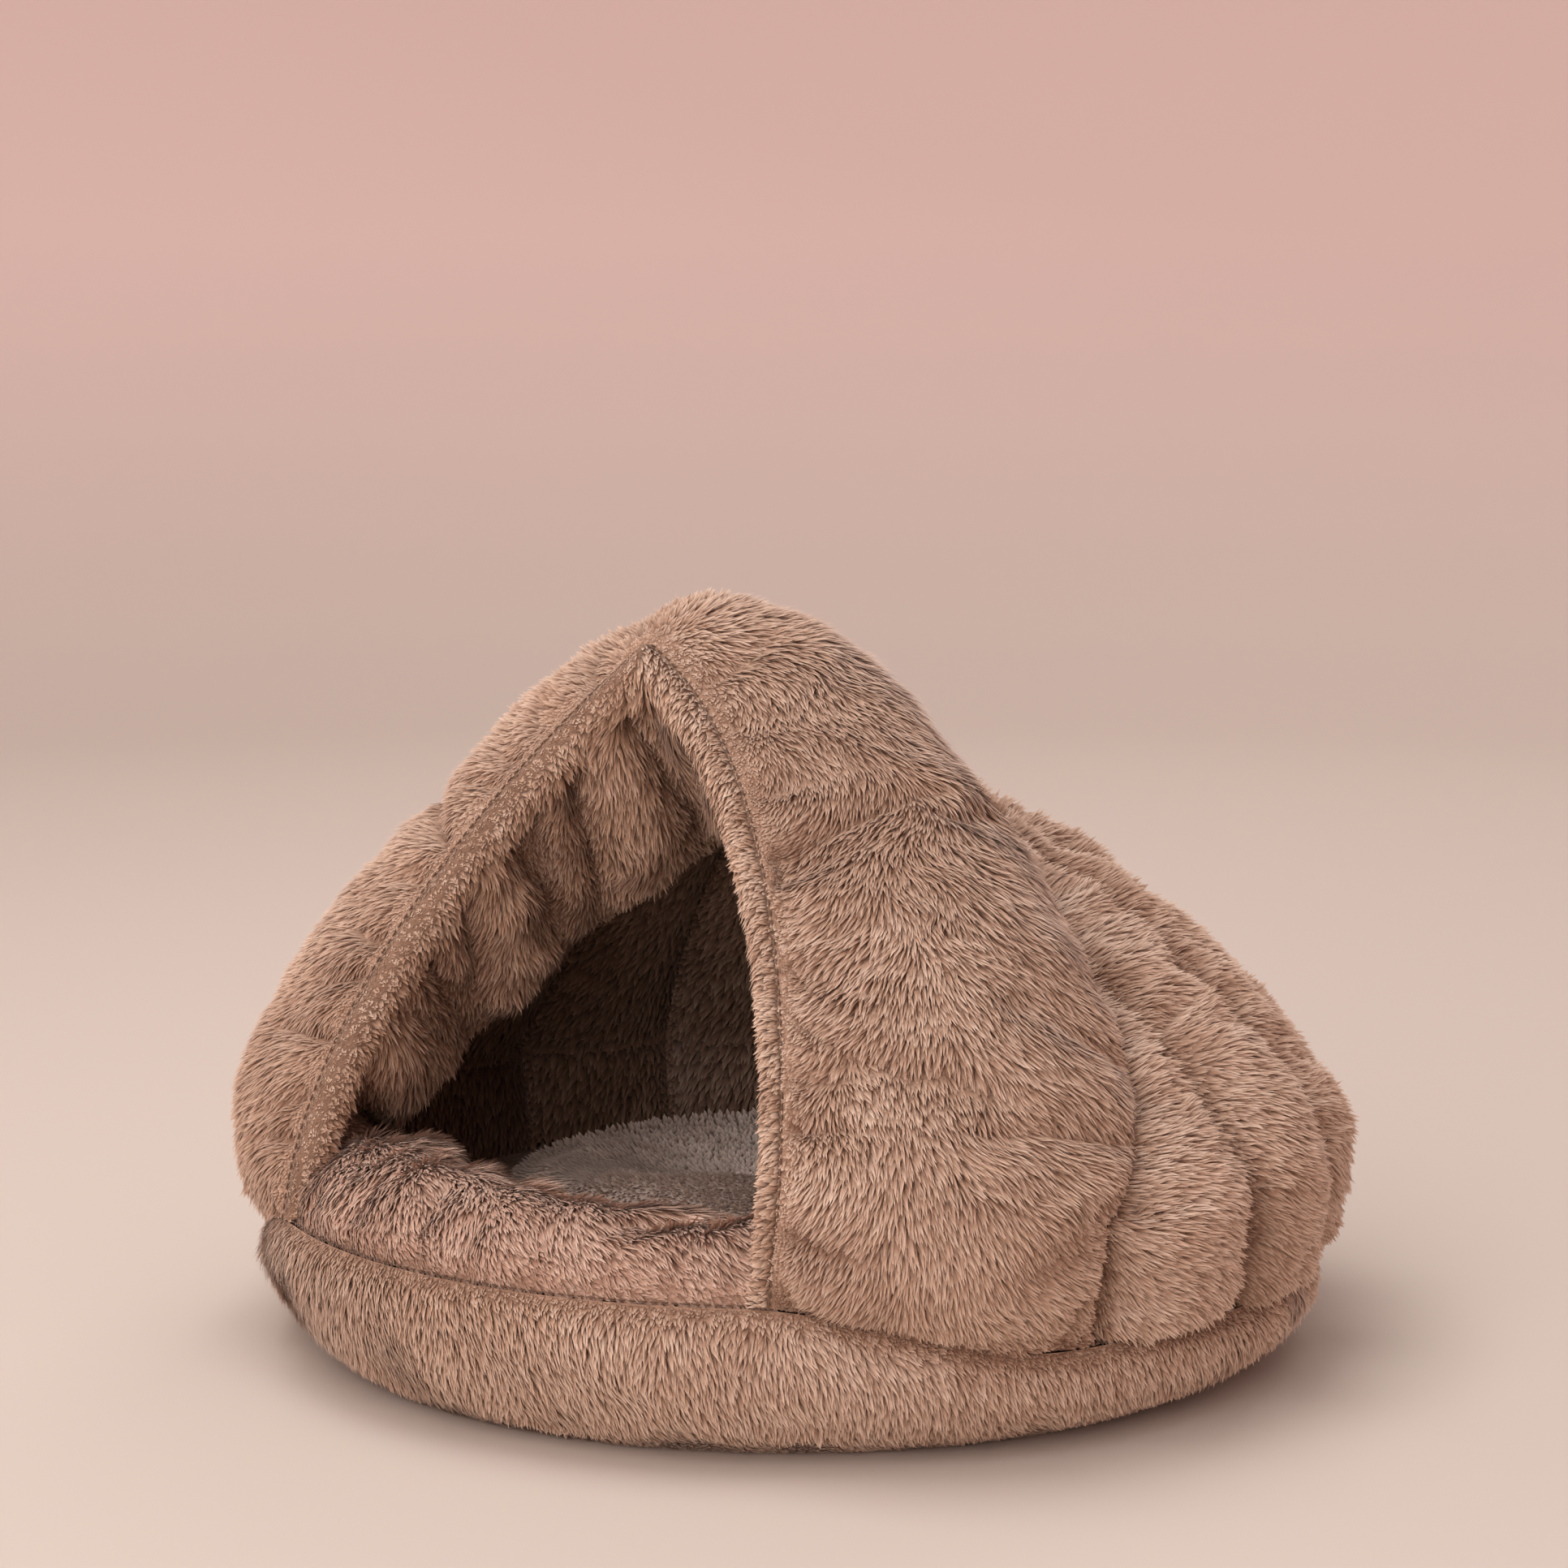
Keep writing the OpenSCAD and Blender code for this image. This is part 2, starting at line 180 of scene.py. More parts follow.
def entrance_point(a):
    """Entrance edge of the arch: a runs as on its rear seam."""
    side, t = np.where(a < 0, -1.0, 1.0), np.abs(a)[..., None]
    foot = np.append((RIM_RADIUS - RIM_PINCH) * heading(ENTRANCE_ANGLE), rim_z(ENTRANCE_ANGLE))
    p = [PEAK, PEAK + PEAK_PULL, foot + FOOT_PULL, foot]
    points = (1 - t) ** 3 * p[0] + 3 * t * (1 - t) ** 2 * p[1] + 3 * t * t * (1 - t) * p[2] + t ** 3 * p[3]
    points[..., 0] *= side
    return points


def arch_normal(a):
    """Outward direction of the flat arch between its two edges."""
    low, high = np.maximum(-1, a - 0.02), np.minimum(1, a + 0.02)
    flat = np.zeros_like(a)
    chord = seam_point(a, flat) - entrance_point(a)
    along = entrance_point(high) + seam_point(high, flat) - entrance_point(low) - seam_point(low, flat)
    return unit(np.cross(along, chord))


def pucker(along, away, spacing, width, depth, reach, seed):
    """Gathers that run off a seam: along is the way along it, away the distance from it."""
    rng = np.random.default_rng(seed)
    dip = np.zeros_like(along)
    for step in np.arange(along.min() - spacing, along.max() + spacing, spacing):
        centre = step + rng.uniform(-0.35, 0.35) * spacing
        slope, far = rng.uniform(-0.5, 0.5), reach * rng.uniform(0.5, 1.3)
        strength = depth * rng.uniform(0.5, 1)
        off = along - centre - slope * away
        groove = np.exp(-np.abs(off / (width * (1 + 0.6 * away / far))) ** 1.2)
        dip -= strength * groove * np.exp(-(away / far) ** 2)
    return dip


def edge_length(a):
    """Distance along the entrance edge from its peak, with a sign."""
    half = 200
    steps = np.linspace(-1, 1, 2 * half + 1)
    line = entrance_point(steps)
    run = np.concatenate([[0], np.cumsum(np.linalg.norm(np.diff(line, axis=0), axis=1))])
    return np.interp(a, steps, run - run[half])


def soft_noise(points, size, seed, octaves=3):
    """Smooth value about -1 to 1 over space, made of a few rotated waves."""
    rng = np.random.default_rng(seed)
    total, weight = np.zeros(points.shape[:-1]), 0
    for octave in range(octaves):
        for _ in range(6):
            wave = unit(rng.normal(size=3)) * 2 * np.pi / (size * rng.uniform(0.7, 1.4)) * 1.9 ** octave
            total += 0.6 ** octave * np.sin(points @ wave + rng.uniform(0, 2 * np.pi))
        weight += 6 * 0.6 ** octave
    return 2.2 * total / weight


def grid_normals(points):
    across = np.gradient(points, axis=0)
    along = np.gradient(points, axis=1)
    return unit(np.cross(across, along))


def swirls(points, size, seeds):
    """Three smooth values that turn the lie of the pile this way and that."""
    return np.stack([soft_noise(points, size, seed) for seed in seeds], -1)


# ---- meshes ----
def store_values(mesh, kind, **values):
    """Keeps values for each point on the mesh, for the pile that grows on it."""
    for key, each in values.items():
        layer = mesh.attributes.new(key, kind, "POINT")
        layer.data.foreach_set("vector" if kind == "FLOAT_VECTOR" else "value",
                               np.ascontiguousarray(each, np.float32).ravel())


def sheet_object(name, points, turned=False, comb=None, nap=None, tone=None, sleek=None, around=False):
    """Mesh of quads over a grid of points, with the lie, length, tone and smoothness of its pile."""
    n, m = points.shape[:2]
    rows = n if around else n - 1
    i, j = np.meshgrid(np.arange(rows), np.arange(m - 1), indexing="ij")
    k = (i + 1) % n
    quads = np.stack([i * m + j, k * m + j, k * m + j + 1, i * m + j + 1], -1).reshape(-1, 4)
    if turned:
        quads = quads[:, ::-1]
    mesh = bpy.data.meshes.new(name)
    mesh.from_pydata(points.reshape(-1, 3).tolist(), [], quads.tolist())
    mesh.polygons.foreach_set("use_smooth", [True] * len(mesh.polygons))
    if comb is not None:
        store_values(mesh, "FLOAT_VECTOR", comb=comb)
    for key, values in (("nap", nap), ("tone", tone), ("sleek", sleek)):
        if values is not None:
            store_values(mesh, "FLOAT", **{key: np.broadcast_to(values, (n, m))})
    mesh.update()
    piece = bpy.data.objects.new(name, mesh)
    bpy.context.scene.collection.objects.link(piece)
    return piece


def paint(piece, material):
    piece.data.materials.clear()
    piece.data.materials.append(material)


# ---- node helpers ----
def add(tree, kind, inputs=None, **settings):
    """New node with its settings, and its sockets linked or set."""
    made = tree.nodes.new(kind)
    for key, value in settings.items():
        setattr(made, key, value)
    for key, value in (inputs or {}).items():
        if isinstance(value, bpy.types.NodeSocket):
            tree.links.new(value, made.inputs[key])
        else:
            made.inputs[key].default_value = value
    return made


def calc(tree, operation, *values, **settings):
    made = add(tree, "ShaderNodeMath", dict(enumerate(values)), operation=operation, **settings)
    return made.outputs[0]


def vector(tree, operation, *values, scale=None):
    made = add(tree, "ShaderNodeVectorMath", dict(enumerate(values)), operation=operation)
    if scale is not None:
        if isinstance(scale, bpy.types.NodeSocket):
            tree.links.new(scale, made.inputs["Scale"])
        else:
            made.inputs["Scale"].default_value = scale
    return made.outputs["Value" if operation in ("DOT_PRODUCT", "LENGTH") else "Vector"]


# ---- pile ----
def lock_object(name, bend, twist):
    """One fine lock of pile: a unit long along Z and wide along X, its outer face towards +Y."""
    rows = [(0.0, 0.9), (0.5, 1.0)]  # height and width
    points = [(side * width / 2 + twist * height ** 2, -bend * height ** 2, height)
              for height, width in rows for side in (-1, 1)]
    mesh = bpy.data.meshes.new(name)
    mesh.from_pydata(points + [(twist, -bend, 1.0)], [], [(2, 3, 1, 0), (4, 3, 2)])
    for key, values in (("along", (0, 0, 0.5, 0.5, 1)), ("across", (-1, 1, -1, 1, 0))):
        mesh.attributes.new(key, "FLOAT", "POINT").data.foreach_set("value", values)
    return bpy.data.objects.new(name, mesh)


def pile_tree():
    """Sows locks over a skin, combs them, gathers them into tufts and stores a tone for each."""
    tree = bpy.data.node_groups.new("plush_pile", "GeometryNodeTree")
    face = tree.interface
    sizes = {"Length": 0.01, "Width": 0.002, "Spacing": 0.0015, "Lift": 0.5, "Swirl": 0.4,
             "Swirl Size": 0.04, "Clump": 0.3, "Clump Size": 0.006, "Tone Spread": 0.3}
    face.new_socket("Skin", in_out="INPUT", socket_type="NodeSocketGeometry")
    face.new_socket("Locks", in_out="INPUT", socket_type="NodeSocketCollection")
    for key, value in sizes.items():
        face.new_socket(key, in_out="INPUT", socket_type="NodeSocketFloat").default_value = value
    face.new_socket("Seed", in_out="INPUT", socket_type="NodeSocketInt")
    face.new_socket("Material", in_out="INPUT", socket_type="NodeSocketMaterial")
    face.new_socket("Pile", in_out="OUTPUT", socket_type="NodeSocketGeometry")
    given = add(tree, "NodeGroupInput").outputs

    def named(key, kind="FLOAT"):
        node = add(tree, "GeometryNodeInputNamedAttribute", {"Name": key}, data_type=kind)
        return node.outputs["Attribute"]

    def store(geometry, key, value, kind, domain="POINT"):
        return add(tree, "GeometryNodeStoreNamedAttribute",
                   {"Geometry": geometry, "Name": key, "Value": value},
                   data_type=kind, domain=domain).outputs["Geometry"]

    def chance(kind, low, high):
        return add(tree, "FunctionNodeRandomValue", {"Min": low, "Max": high, "Seed": given["Seed"]},
                   data_type=kind).outputs["Value"]

    def flattened(way):
        """The part of a direction that lies in the skin."""
        off = vector(tree, "SCALE", normal, scale=vector(tree, "DOT_PRODUCT", way, normal))
        return vector(tree, "SUBTRACT", way, off)

    def tufts(places):
        each = calc(tree, "DIVIDE", 1.0, given["Clump Size"])
        return add(tree, "ShaderNodeTexVoronoi", {"Vector": places, "Scale": each}, feature="F1").outputs

    packing = calc(tree, "DIVIDE", 1.6, calc(tree, "MULTIPLY", given["Spacing"], given["Spacing"]))
    sown = add(tree, "GeometryNodeDistributePointsOnFaces",
               {"Mesh": given["Skin"], "Distance Min": given["Spacing"], "Density Max": packing,
                "Seed": given["Seed"]}, distribute_method="POISSON")
    spot = add(tree, "GeometryNodeInputPosition").outputs[0]
    points = store(sown.outputs["Points"], "root_normal", sown.outputs["Normal"], "FLOAT_VECTOR")
    points = store(points, "root_place", spot, "FLOAT_VECTOR")
    swirl_scale = calc(tree, "DIVIDE", 1.0, given["Swirl Size"])
    flow = add(tree, "ShaderNodeTexNoise", {"Vector": spot, "Scale": swirl_scale, "Detail": 2.0})
    push = vector(tree, "SCALE", vector(tree, "SUBTRACT", flow.outputs["Color"], (0.5, 0.5, 0.5)),
                  scale=calc(tree, "MULTIPLY", given["Swirl"], 3.0))
    normal = named("root_normal", "FLOAT_VECTOR")
    lie = vector(tree, "ADD", vector(tree, "NORMALIZE", named("comb", "FLOAT_VECTOR")), push)
    stray = chance("FLOAT_VECTOR", (-0.14,) * 3, (0.14,) * 3)
    lie = vector(tree, "ADD", vector(tree, "NORMALIZE", flattened(lie)), stray)
    aim = vector(tree, "ADD", vector(tree, "SCALE", lie, scale=calc(tree, "COSINE", given["Lift"])),
                 vector(tree, "SCALE", normal, scale=calc(tree, "SINE", given["Lift"])))
    turn = add(tree, "FunctionNodeAlignRotationToVector", {"Vector": aim}, axis="Z").outputs["Rotation"]
    turn = add(tree, "FunctionNodeAlignRotationToVector", {"Rotation": turn, "Vector": normal},
               axis="Y", pivot_axis="Z").outputs["Rotation"]
    size = chance("FLOAT_VECTOR", (0.75, 0.7, 0.7), (1.25, 1.2, 1.2))
    long = calc(tree, "MULTIPLY", given["Length"], named("nap"))
    spread = add(tree, "ShaderNodeCombineXYZ", {"X": given["Width"], "Y": long, "Z": long}).outputs[0]
    patch = add(tree, "ShaderNodeTexNoise", {"Vector": spot, "Scale": 45.0, "Detail": 3.0}).outputs["Fac"]
    patch = calc(tree, "MULTIPLY", calc(tree, "SUBTRACT", patch, 0.5), 1.6)
    vary = calc(tree, "ADD", patch, chance("FLOAT", -0.5, 0.5))
    # each tuft has a tone of its own, and is painted darker round its edge: painted shade in the gaps
    # between tufts
    tuft = tufts(spot)
    own = add(tree, "FunctionNodeSeparateColor", {"Color": tuft["Color"]}).outputs[0]
    vary = calc(tree, "ADD", vary, calc(tree, "SUBTRACT", own, tuft["Distance"]))
    parted = calc(tree, "SUBTRACT", 1.0, calc(tree, "MULTIPLY", named("sleek"), 0.7))
    vary = calc(tree, "MULTIPLY", vary, parted)
    shade = calc(tree, "ADD", named("tone"), calc(tree, "MULTIPLY", vary, given["Tone Spread"]))
    shade = add(tree, "ShaderNodeClamp", {"Value": shade, "Min": 0.03, "Max": 0.97}).outputs[0]
    points = store(points, "shade", shade, "FLOAT")
    points = store(points, "parted", parted, "FLOAT")
    kinds = add(tree, "GeometryNodeCollectionInfo", {"Collection": given["Locks"], "Separate Children": True,
                                                     "Reset Children": True}).outputs["Instances"]
    planted = add(tree, "GeometryNodeInstanceOnPoints",
                  {"Points": points, "Instance": kinds, "Pick Instance": True, "Rotation": turn,
                   "Scale": vector(tree, "MULTIPLY", spread, size)}).outputs["Instances"]
    grown = add(tree, "GeometryNodeRealizeInstances", {"Geometry": planted}).outputs["Geometry"]
    # locks lean towards the middle of their tuft, more so at their tips
    root = named("root_place", "FLOAT_VECTOR")
    pull = flattened(vector(tree, "SUBTRACT", tufts(root)["Position"], root))
    along = named("along")
    drawn = calc(tree, "MULTIPLY", calc(tree, "POWER", along, 1.3), given["Clump"])
    drawn = calc(tree, "MULTIPLY", drawn, named("parted"))
    pull = vector(tree, "SCALE", pull, scale=drawn)
    grown = add(tree, "GeometryNodeSetPosition", {"Geometry": grown, "Offset": pull}).outputs["Geometry"]
    # nothing hangs below the plane that the bed stands on
    now = add(tree, "ShaderNodeSeparateXYZ", {0: add(tree, "GeometryNodeInputPosition").outputs[0]}).outputs
    kept = add(tree, "ShaderNodeCombineXYZ",
               {"X": now["X"], "Y": now["Y"], "Z": calc(tree, "MAXIMUM", now["Z"], 0.0004)}).outputs[0]
    grown = add(tree, "GeometryNodeSetPosition", {"Geometry": grown, "Position": kept}).outputs["Geometry"]
    # the map: tone along U, with a trace of the lock's width, and root to tip along V
    across = calc(tree, "MULTIPLY", named("across"), 0.012)
    chart = add(tree, "ShaderNodeCombineXYZ", {"X": calc(tree, "ADD", named("shade"), across),
                                               "Y": along}).outputs[0]
    grown = store(grown, "OFBake", chart, "FLOAT2", "CORNER")
    grown = add(tree, "GeometryNodeSetShadeSmooth", {"Geometry": grown}).outputs["Geometry"]
    grown = add(tree, "GeometryNodeSetMaterial",
                {"Geometry": grown, "Material": given["Material"]}).outputs["Geometry"]
    add(tree, "NodeGroupOutput", {"Pile": grown})
    return tree


WORKING_VALUES = ("root_normal", "root_place", "shade", "parted", "along", "across", "comb", "nap", "tone",
                  "sleek")


def build(tree, piece, name, **values):
    """Runs a geometry tree on a piece and returns the result as a plain mesh object."""
    modifier = piece.modifiers.new("work", "NODES")
    modifier.node_group = tree
    keys = {socket.name: socket.identifier for socket in tree.interface.items_tree
            if socket.item_type == "SOCKET" and socket.in_out == "INPUT"}
    for key, value in values.items():
        modifier[keys[key.replace("_", " ")]] = value
    piece.update_tag()
    bpy.context.view_layer.update()
    ready = piece.evaluated_get(bpy.context.evaluated_depsgraph_get())
    mesh = bpy.data.meshes.new_from_object(ready)
    piece.modifiers.remove(modifier)
    for key in WORKING_VALUES:
        if key in mesh.attributes:
            mesh.attributes.remove(mesh.attributes[key])
    mesh.name = name
    made = bpy.data.objects.new(name, mesh)
    bpy.context.scene.collection.objects.link(made)
    return made


LOCKS = bpy.data.collections.new("locks")
for number, (bend, twist) in enumerate([(0.22, 0.0), (0.3, 0.5), (0.26, -0.5), (0.12, 0.2)]):
    LOCKS.objects.link(lock_object(f"lock_{number}", bend, twist))
PILE = pile_tree()


def grow_pile(name, skin, body, slot, material, seed, **sizes):
    """Pile over a skin, as one piece; the sizes not named are those of the long plush."""
    settings = dict(Length=0.0095, Width=0.00125, Spacing=0.00088, Lift=0.5, Swirl=0.3, Swirl_Size=0.03,
                    Clump=0.55, Clump_Size=0.0035, Tone_Spread=0.34)
    settings.update(sizes)
    made = build(PILE, skin, name, Locks=LOCKS, Seed=seed, Material=material, **settings)
    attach(made, body)
    return made


# ---- materials ----
def new_material(name, roughness, sheen=0.0, sheen_rough=0.4, specular=0.3):
    material = bpy.data.materials.new(name)
    material.use_nodes = True
    tree = material.node_tree
    shader = tree.nodes["Principled BSDF"]
    shader.inputs["Roughness"].default_value = roughness
    shader.inputs["Sheen Weight"].default_value = sheen
    shader.inputs["Sheen Roughness"].default_value = sheen_rough
    shader.inputs["Sheen Tint"].default_value = (1.0, 0.84, 0.74, 1)
    shader.inputs["Specular IOR Level"].default_value = specular
    return material, tree, shader


def ramp(tree, value, stops):
    node = add(tree, "ShaderNodeValToRGB", {"Fac": value})
    band = node.color_ramp
    while len(band.elements) < len(stops):
        band.elements.new(0.5)
    for element, (position, colour) in zip(band.elements, stops):
        element.position = position
        element.color = (*colour, 1)
    return node.outputs["Color"]


def pile_material(name, dark, mid, light, root, tip, roughness=0.5, sheen=0.5):
    """Tone runs along the map's U from dark to light, and the lock from root to tip along V. The dark root
    colour is painted shade among the locks, and the pale tip colour is a painted highlight.
    """
    material, tree, shader = new_material(name, roughness, sheen)
    chart = add(tree, "ShaderNodeSeparateXYZ", {0: add(tree, "ShaderNodeUVMap", uv_map="OFBake").outputs[0]})
    tint = ramp(tree, chart.outputs["X"], [(0.0, dark), (0.5, mid), (1.0, light)])
    # towards the root: painted shade among the locks; towards the tip: painted highlight
    depth = ramp(tree, chart.outputs["Y"], [(0.0, (0, 0, 0)), (0.4, (0.55, 0.55, 0.55)), (0.8, (1, 1, 1))])
    blend = add(tree, "ShaderNodeMix", {0: depth, 6: (*root, 1), 7: tint}, data_type="RGBA")
    painted_tip_highlight = ramp(tree, chart.outputs["Y"], [(0.55, (0, 0, 0)), (1.0, (0.4, 0.4, 0.4))])
    blend = add(tree, "ShaderNodeMix", {0: painted_tip_highlight, 6: blend.outputs[2], 7: (*tip, 1)}, data_type="RGBA")
    tree.links.new(blend.outputs[2], shader.inputs["Base Color"])
    return material


def nap_group():
    """Fine short fur over a skin: a mottle for its colour and a height for its bump."""
    tree = bpy.data.node_groups.new("nap", "ShaderNodeTree")
    tree.interface.new_socket("Scale", in_out="INPUT", socket_type="NodeSocketFloat").default_value = 300
    tree.interface.new_socket("Mottle", in_out="OUTPUT", socket_type="NodeSocketFloat")
    tree.interface.new_socket("Height", in_out="OUTPUT", socket_type="NodeSocketFloat")
    given = add(tree, "NodeGroupInput").outputs
    spot = add(tree, "ShaderNodeTexCoord").outputs["Object"]
    hairs = add(tree, "ShaderNodeTexNoise", {"Vector": spot, "Scale": given["Scale"], "Detail": 4.0,
                                             "Roughness": 0.65}).outputs["Fac"]
    wide = calc(tree, "MULTIPLY", given["Scale"], 0.12)
    broad = add(tree, "ShaderNodeTexNoise", {"Vector": spot, "Scale": wide, "Detail": 3.0}).outputs["Fac"]
    mottle = calc(tree, "ADD", calc(tree, "MULTIPLY", hairs, 0.5), calc(tree, "MULTIPLY", broad, 0.5))
    add(tree, "NodeGroupOutput", {"Mottle": mottle, "Height": calc(tree, "ADD", hairs, broad)})
    return tree


NAP = nap_group()


def skin_material(name, dark, light, scale=320.0, bump=0.002, roughness=0.85, sheen=0.3):
    material, tree, shader = new_material(name, roughness, sheen)
    nap = add(tree, "ShaderNodeGroup", node_tree=NAP)
    nap.inputs["Scale"].default_value = scale
    colour = ramp(tree, nap.outputs["Mottle"], [(0.3, dark), (0.7, light)])
    tree.links.new(colour, shader.inputs["Base Color"])
    lump = add(tree, "ShaderNodeBump", {"Height": nap.outputs["Height"], "Strength": 0.8, "Distance": bump})
    tree.links.new(lump.outputs["Normal"], shader.inputs["Normal"])
    return material


PLUSH = pile_material("long_plush", (0.34, 0.19, 0.12), (0.56, 0.36, 0.25), (0.74, 0.55, 0.43),
                      (0.21, 0.115, 0.075), (0.86, 0.72, 0.61))
SLEEK = pile_material("sill_plush", (0.44, 0.25, 0.17), (0.62, 0.40, 0.30), (0.76, 0.57, 0.46),
                      (0.30, 0.17, 0.12), (0.86, 0.71, 0.61))
INNER = pile_material("lining_plush", (0.26, 0.14, 0.085), (0.54, 0.33, 0.22), (0.76, 0.56, 0.43),
                      (0.10, 0.054, 0.034), (0.88, 0.73, 0.61))
# Darker copy of the lining plush for the gore linings deep in the cave: painted shade.
SHADED_LINING = pile_material("shaded_lining_plush", (0.20, 0.11, 0.07), (0.34, 0.21, 0.14), (0.50, 0.35, 0.25),
                     (0.07, 0.038, 0.024), (0.62, 0.48, 0.38))
PALE = pile_material("cushion_plush", (0.60, 0.49, 0.42), (0.84, 0.70, 0.61), (0.92, 0.81, 0.73),
                     (0.32, 0.24, 0.20), (0.84, 0.76, 0.70))
# The backings are darker than the pile: painted shade under the pile, among its roots.
BACKING = skin_material("plush_backing", (0.30, 0.175, 0.115), (0.50, 0.32, 0.225))
LINING_BACKING = skin_material("lining_backing", (0.20, 0.115, 0.075), (0.36, 0.22, 0.15))
CUSHION_BACKING = skin_material("cushion_backing", (0.38, 0.30, 0.26), (0.52, 0.43, 0.38),
                                scale=420.0, bump=0.001)
THREAD = skin_material("thread", (0.10, 0.055, 0.035), (0.2, 0.12, 0.08), scale=1500.0, bump=0.0003)


def place(piece, body, slot, *nodes):
    """Puts a piece on its body, in place of the named CAD nodes; the slot is not used."""
    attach(piece, body)
    if nodes:
        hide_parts(*nodes)
    return piece


def lie_of(points, down, side):
    """Direction the pile is combed in: down the first way of the grid and aside along the second."""
    first = unit(np.gradient(points, axis=0))
    second = unit(np.gradient(points, axis=1))
    return unit(first * np.asarray(down)[..., None] + second * np.asarray(side)[..., None])


# ---- padding by cloth simulation ----
def places_of(mesh):
    flat = np.zeros(len(mesh.vertices) * 3, np.float32)
    mesh.vertices.foreach_get("co", flat)
    return flat.reshape(-1, 3).astype(float)


def move_to(piece, points):
    piece.data.vertices.foreach_set("co", np.ascontiguousarray(points, np.float32).ravel())
    piece.data.update()


def puff(piece, pressure, cap, growth=0.0, held=None):
    """Fills a skin with padding: the cloth swells under pressure, and no point moves more than the cap."""
    scene = bpy.context.scene
    start = places_of(piece.data)
    cloth = piece.modifiers.new("cloth", "CLOTH")
    rules = cloth.settings
    rules.quality = 5
    rules.mass = 0.2
    rules.tension_stiffness = rules.compression_stiffness = 12
    rules.bending_stiffness = 0.3
    rules.use_pressure = True
    rules.uniform_pressure_force = pressure
    rules.shrink_min = -growth
    rules.effector_weights.gravity = 0
    if held is not None:
        group = piece.vertex_groups.new(name="seams")
        group.add([int(i) for i in np.flatnonzero(held)], 1.0, "REPLACE")
        rules.vertex_group_mass = "seams"
    cloth.point_cache.frame_start = 1
    cloth.point_cache.frame_end = CLOTH_FRAMES
    for number in range(1, CLOTH_FRAMES + 1):
        scene.frame_set(number)
    ready = piece.evaluated_get(bpy.context.evaluated_depsgraph_get())
    end = places_of(ready.to_mesh())
    ready.to_mesh_clear()
    piece.modifiers.remove(cloth)
    scene.frame_set(1)
    move = np.nan_to_num(end - start)
    far = np.linalg.norm(move, axis=1, keepdims=True)
    move_to(piece, start + move * np.minimum(1, cap / np.maximum(far, 1e-9)))


def sewn_edge(piece):
    """Which points of an open skin lie on its sewn edge."""
    work = bmesh.new()
    work.from_mesh(piece.data)
    edge = np.array([v.is_boundary for v in work.verts])
    work.free()
    return edge


def pad_out(piece, cap, growth):
    """An open skin that is sewn down all round swells between its seams."""
    puff(piece, PANEL_PRESSURE, cap, growth, sewn_edge(piece))


def settled(piece, modifier):
    """Turns a modifier's result into the plain mesh of the piece."""
    bpy.context.view_layer.update()
    ready = piece.evaluated_get(bpy.context.evaluated_depsgraph_get())
    mesh = bpy.data.meshes.new_from_object(ready)
    piece.modifiers.remove(modifier)
    piece.data = mesh
    return piece


def remeshed(piece, voxel):
    modifier = piece.modifiers.new("remesh", "REMESH")
    modifier.mode = "VOXEL"
    modifier.voxel_size = voxel
    modifier.use_smooth_shade = True
    return settled(piece, modifier)


def smoothed(piece, levels=1):
    modifier = piece.modifiers.new("smooth", "SUBSURF")
    modifier.levels = modifier.render_levels = levels
    return settled(piece, modifier)


# ---- entrance arch ----
ARCH_STEPS, ARCH_WIDE, LIP_STEPS = 300, 60, 11
RIM_ROLL = 0.0035             # how far the stuffed panels hang out over the rim seam
LEFT_ROLL = 0.3               # share of it on the left leg, which stands straighter
LINING_HANG = 0.022           # how far the stuffed lining hangs into the cave beyond its CAD shape
LIP_DROP = 0.006              # how far the lip rolls forward of the entrance edge
LIP_GIRTH = 0.018             # way over the lip, from the outer seam to the inside
LINING_VALLEY = 0.012         # depth at which a fold of the lining gets its full painted shade and its shortest pile


def overhang(to_rim):
    """Panels swell out just above the rim seam and turn in sharply at it."""
    swell = ease(0, 0.012, to_rim) * (1 - ease(0.02, 0.075, to_rim))
    return RIM_ROLL * (swell - 0.3 * (1 - ease(0, 0.005, to_rim)))


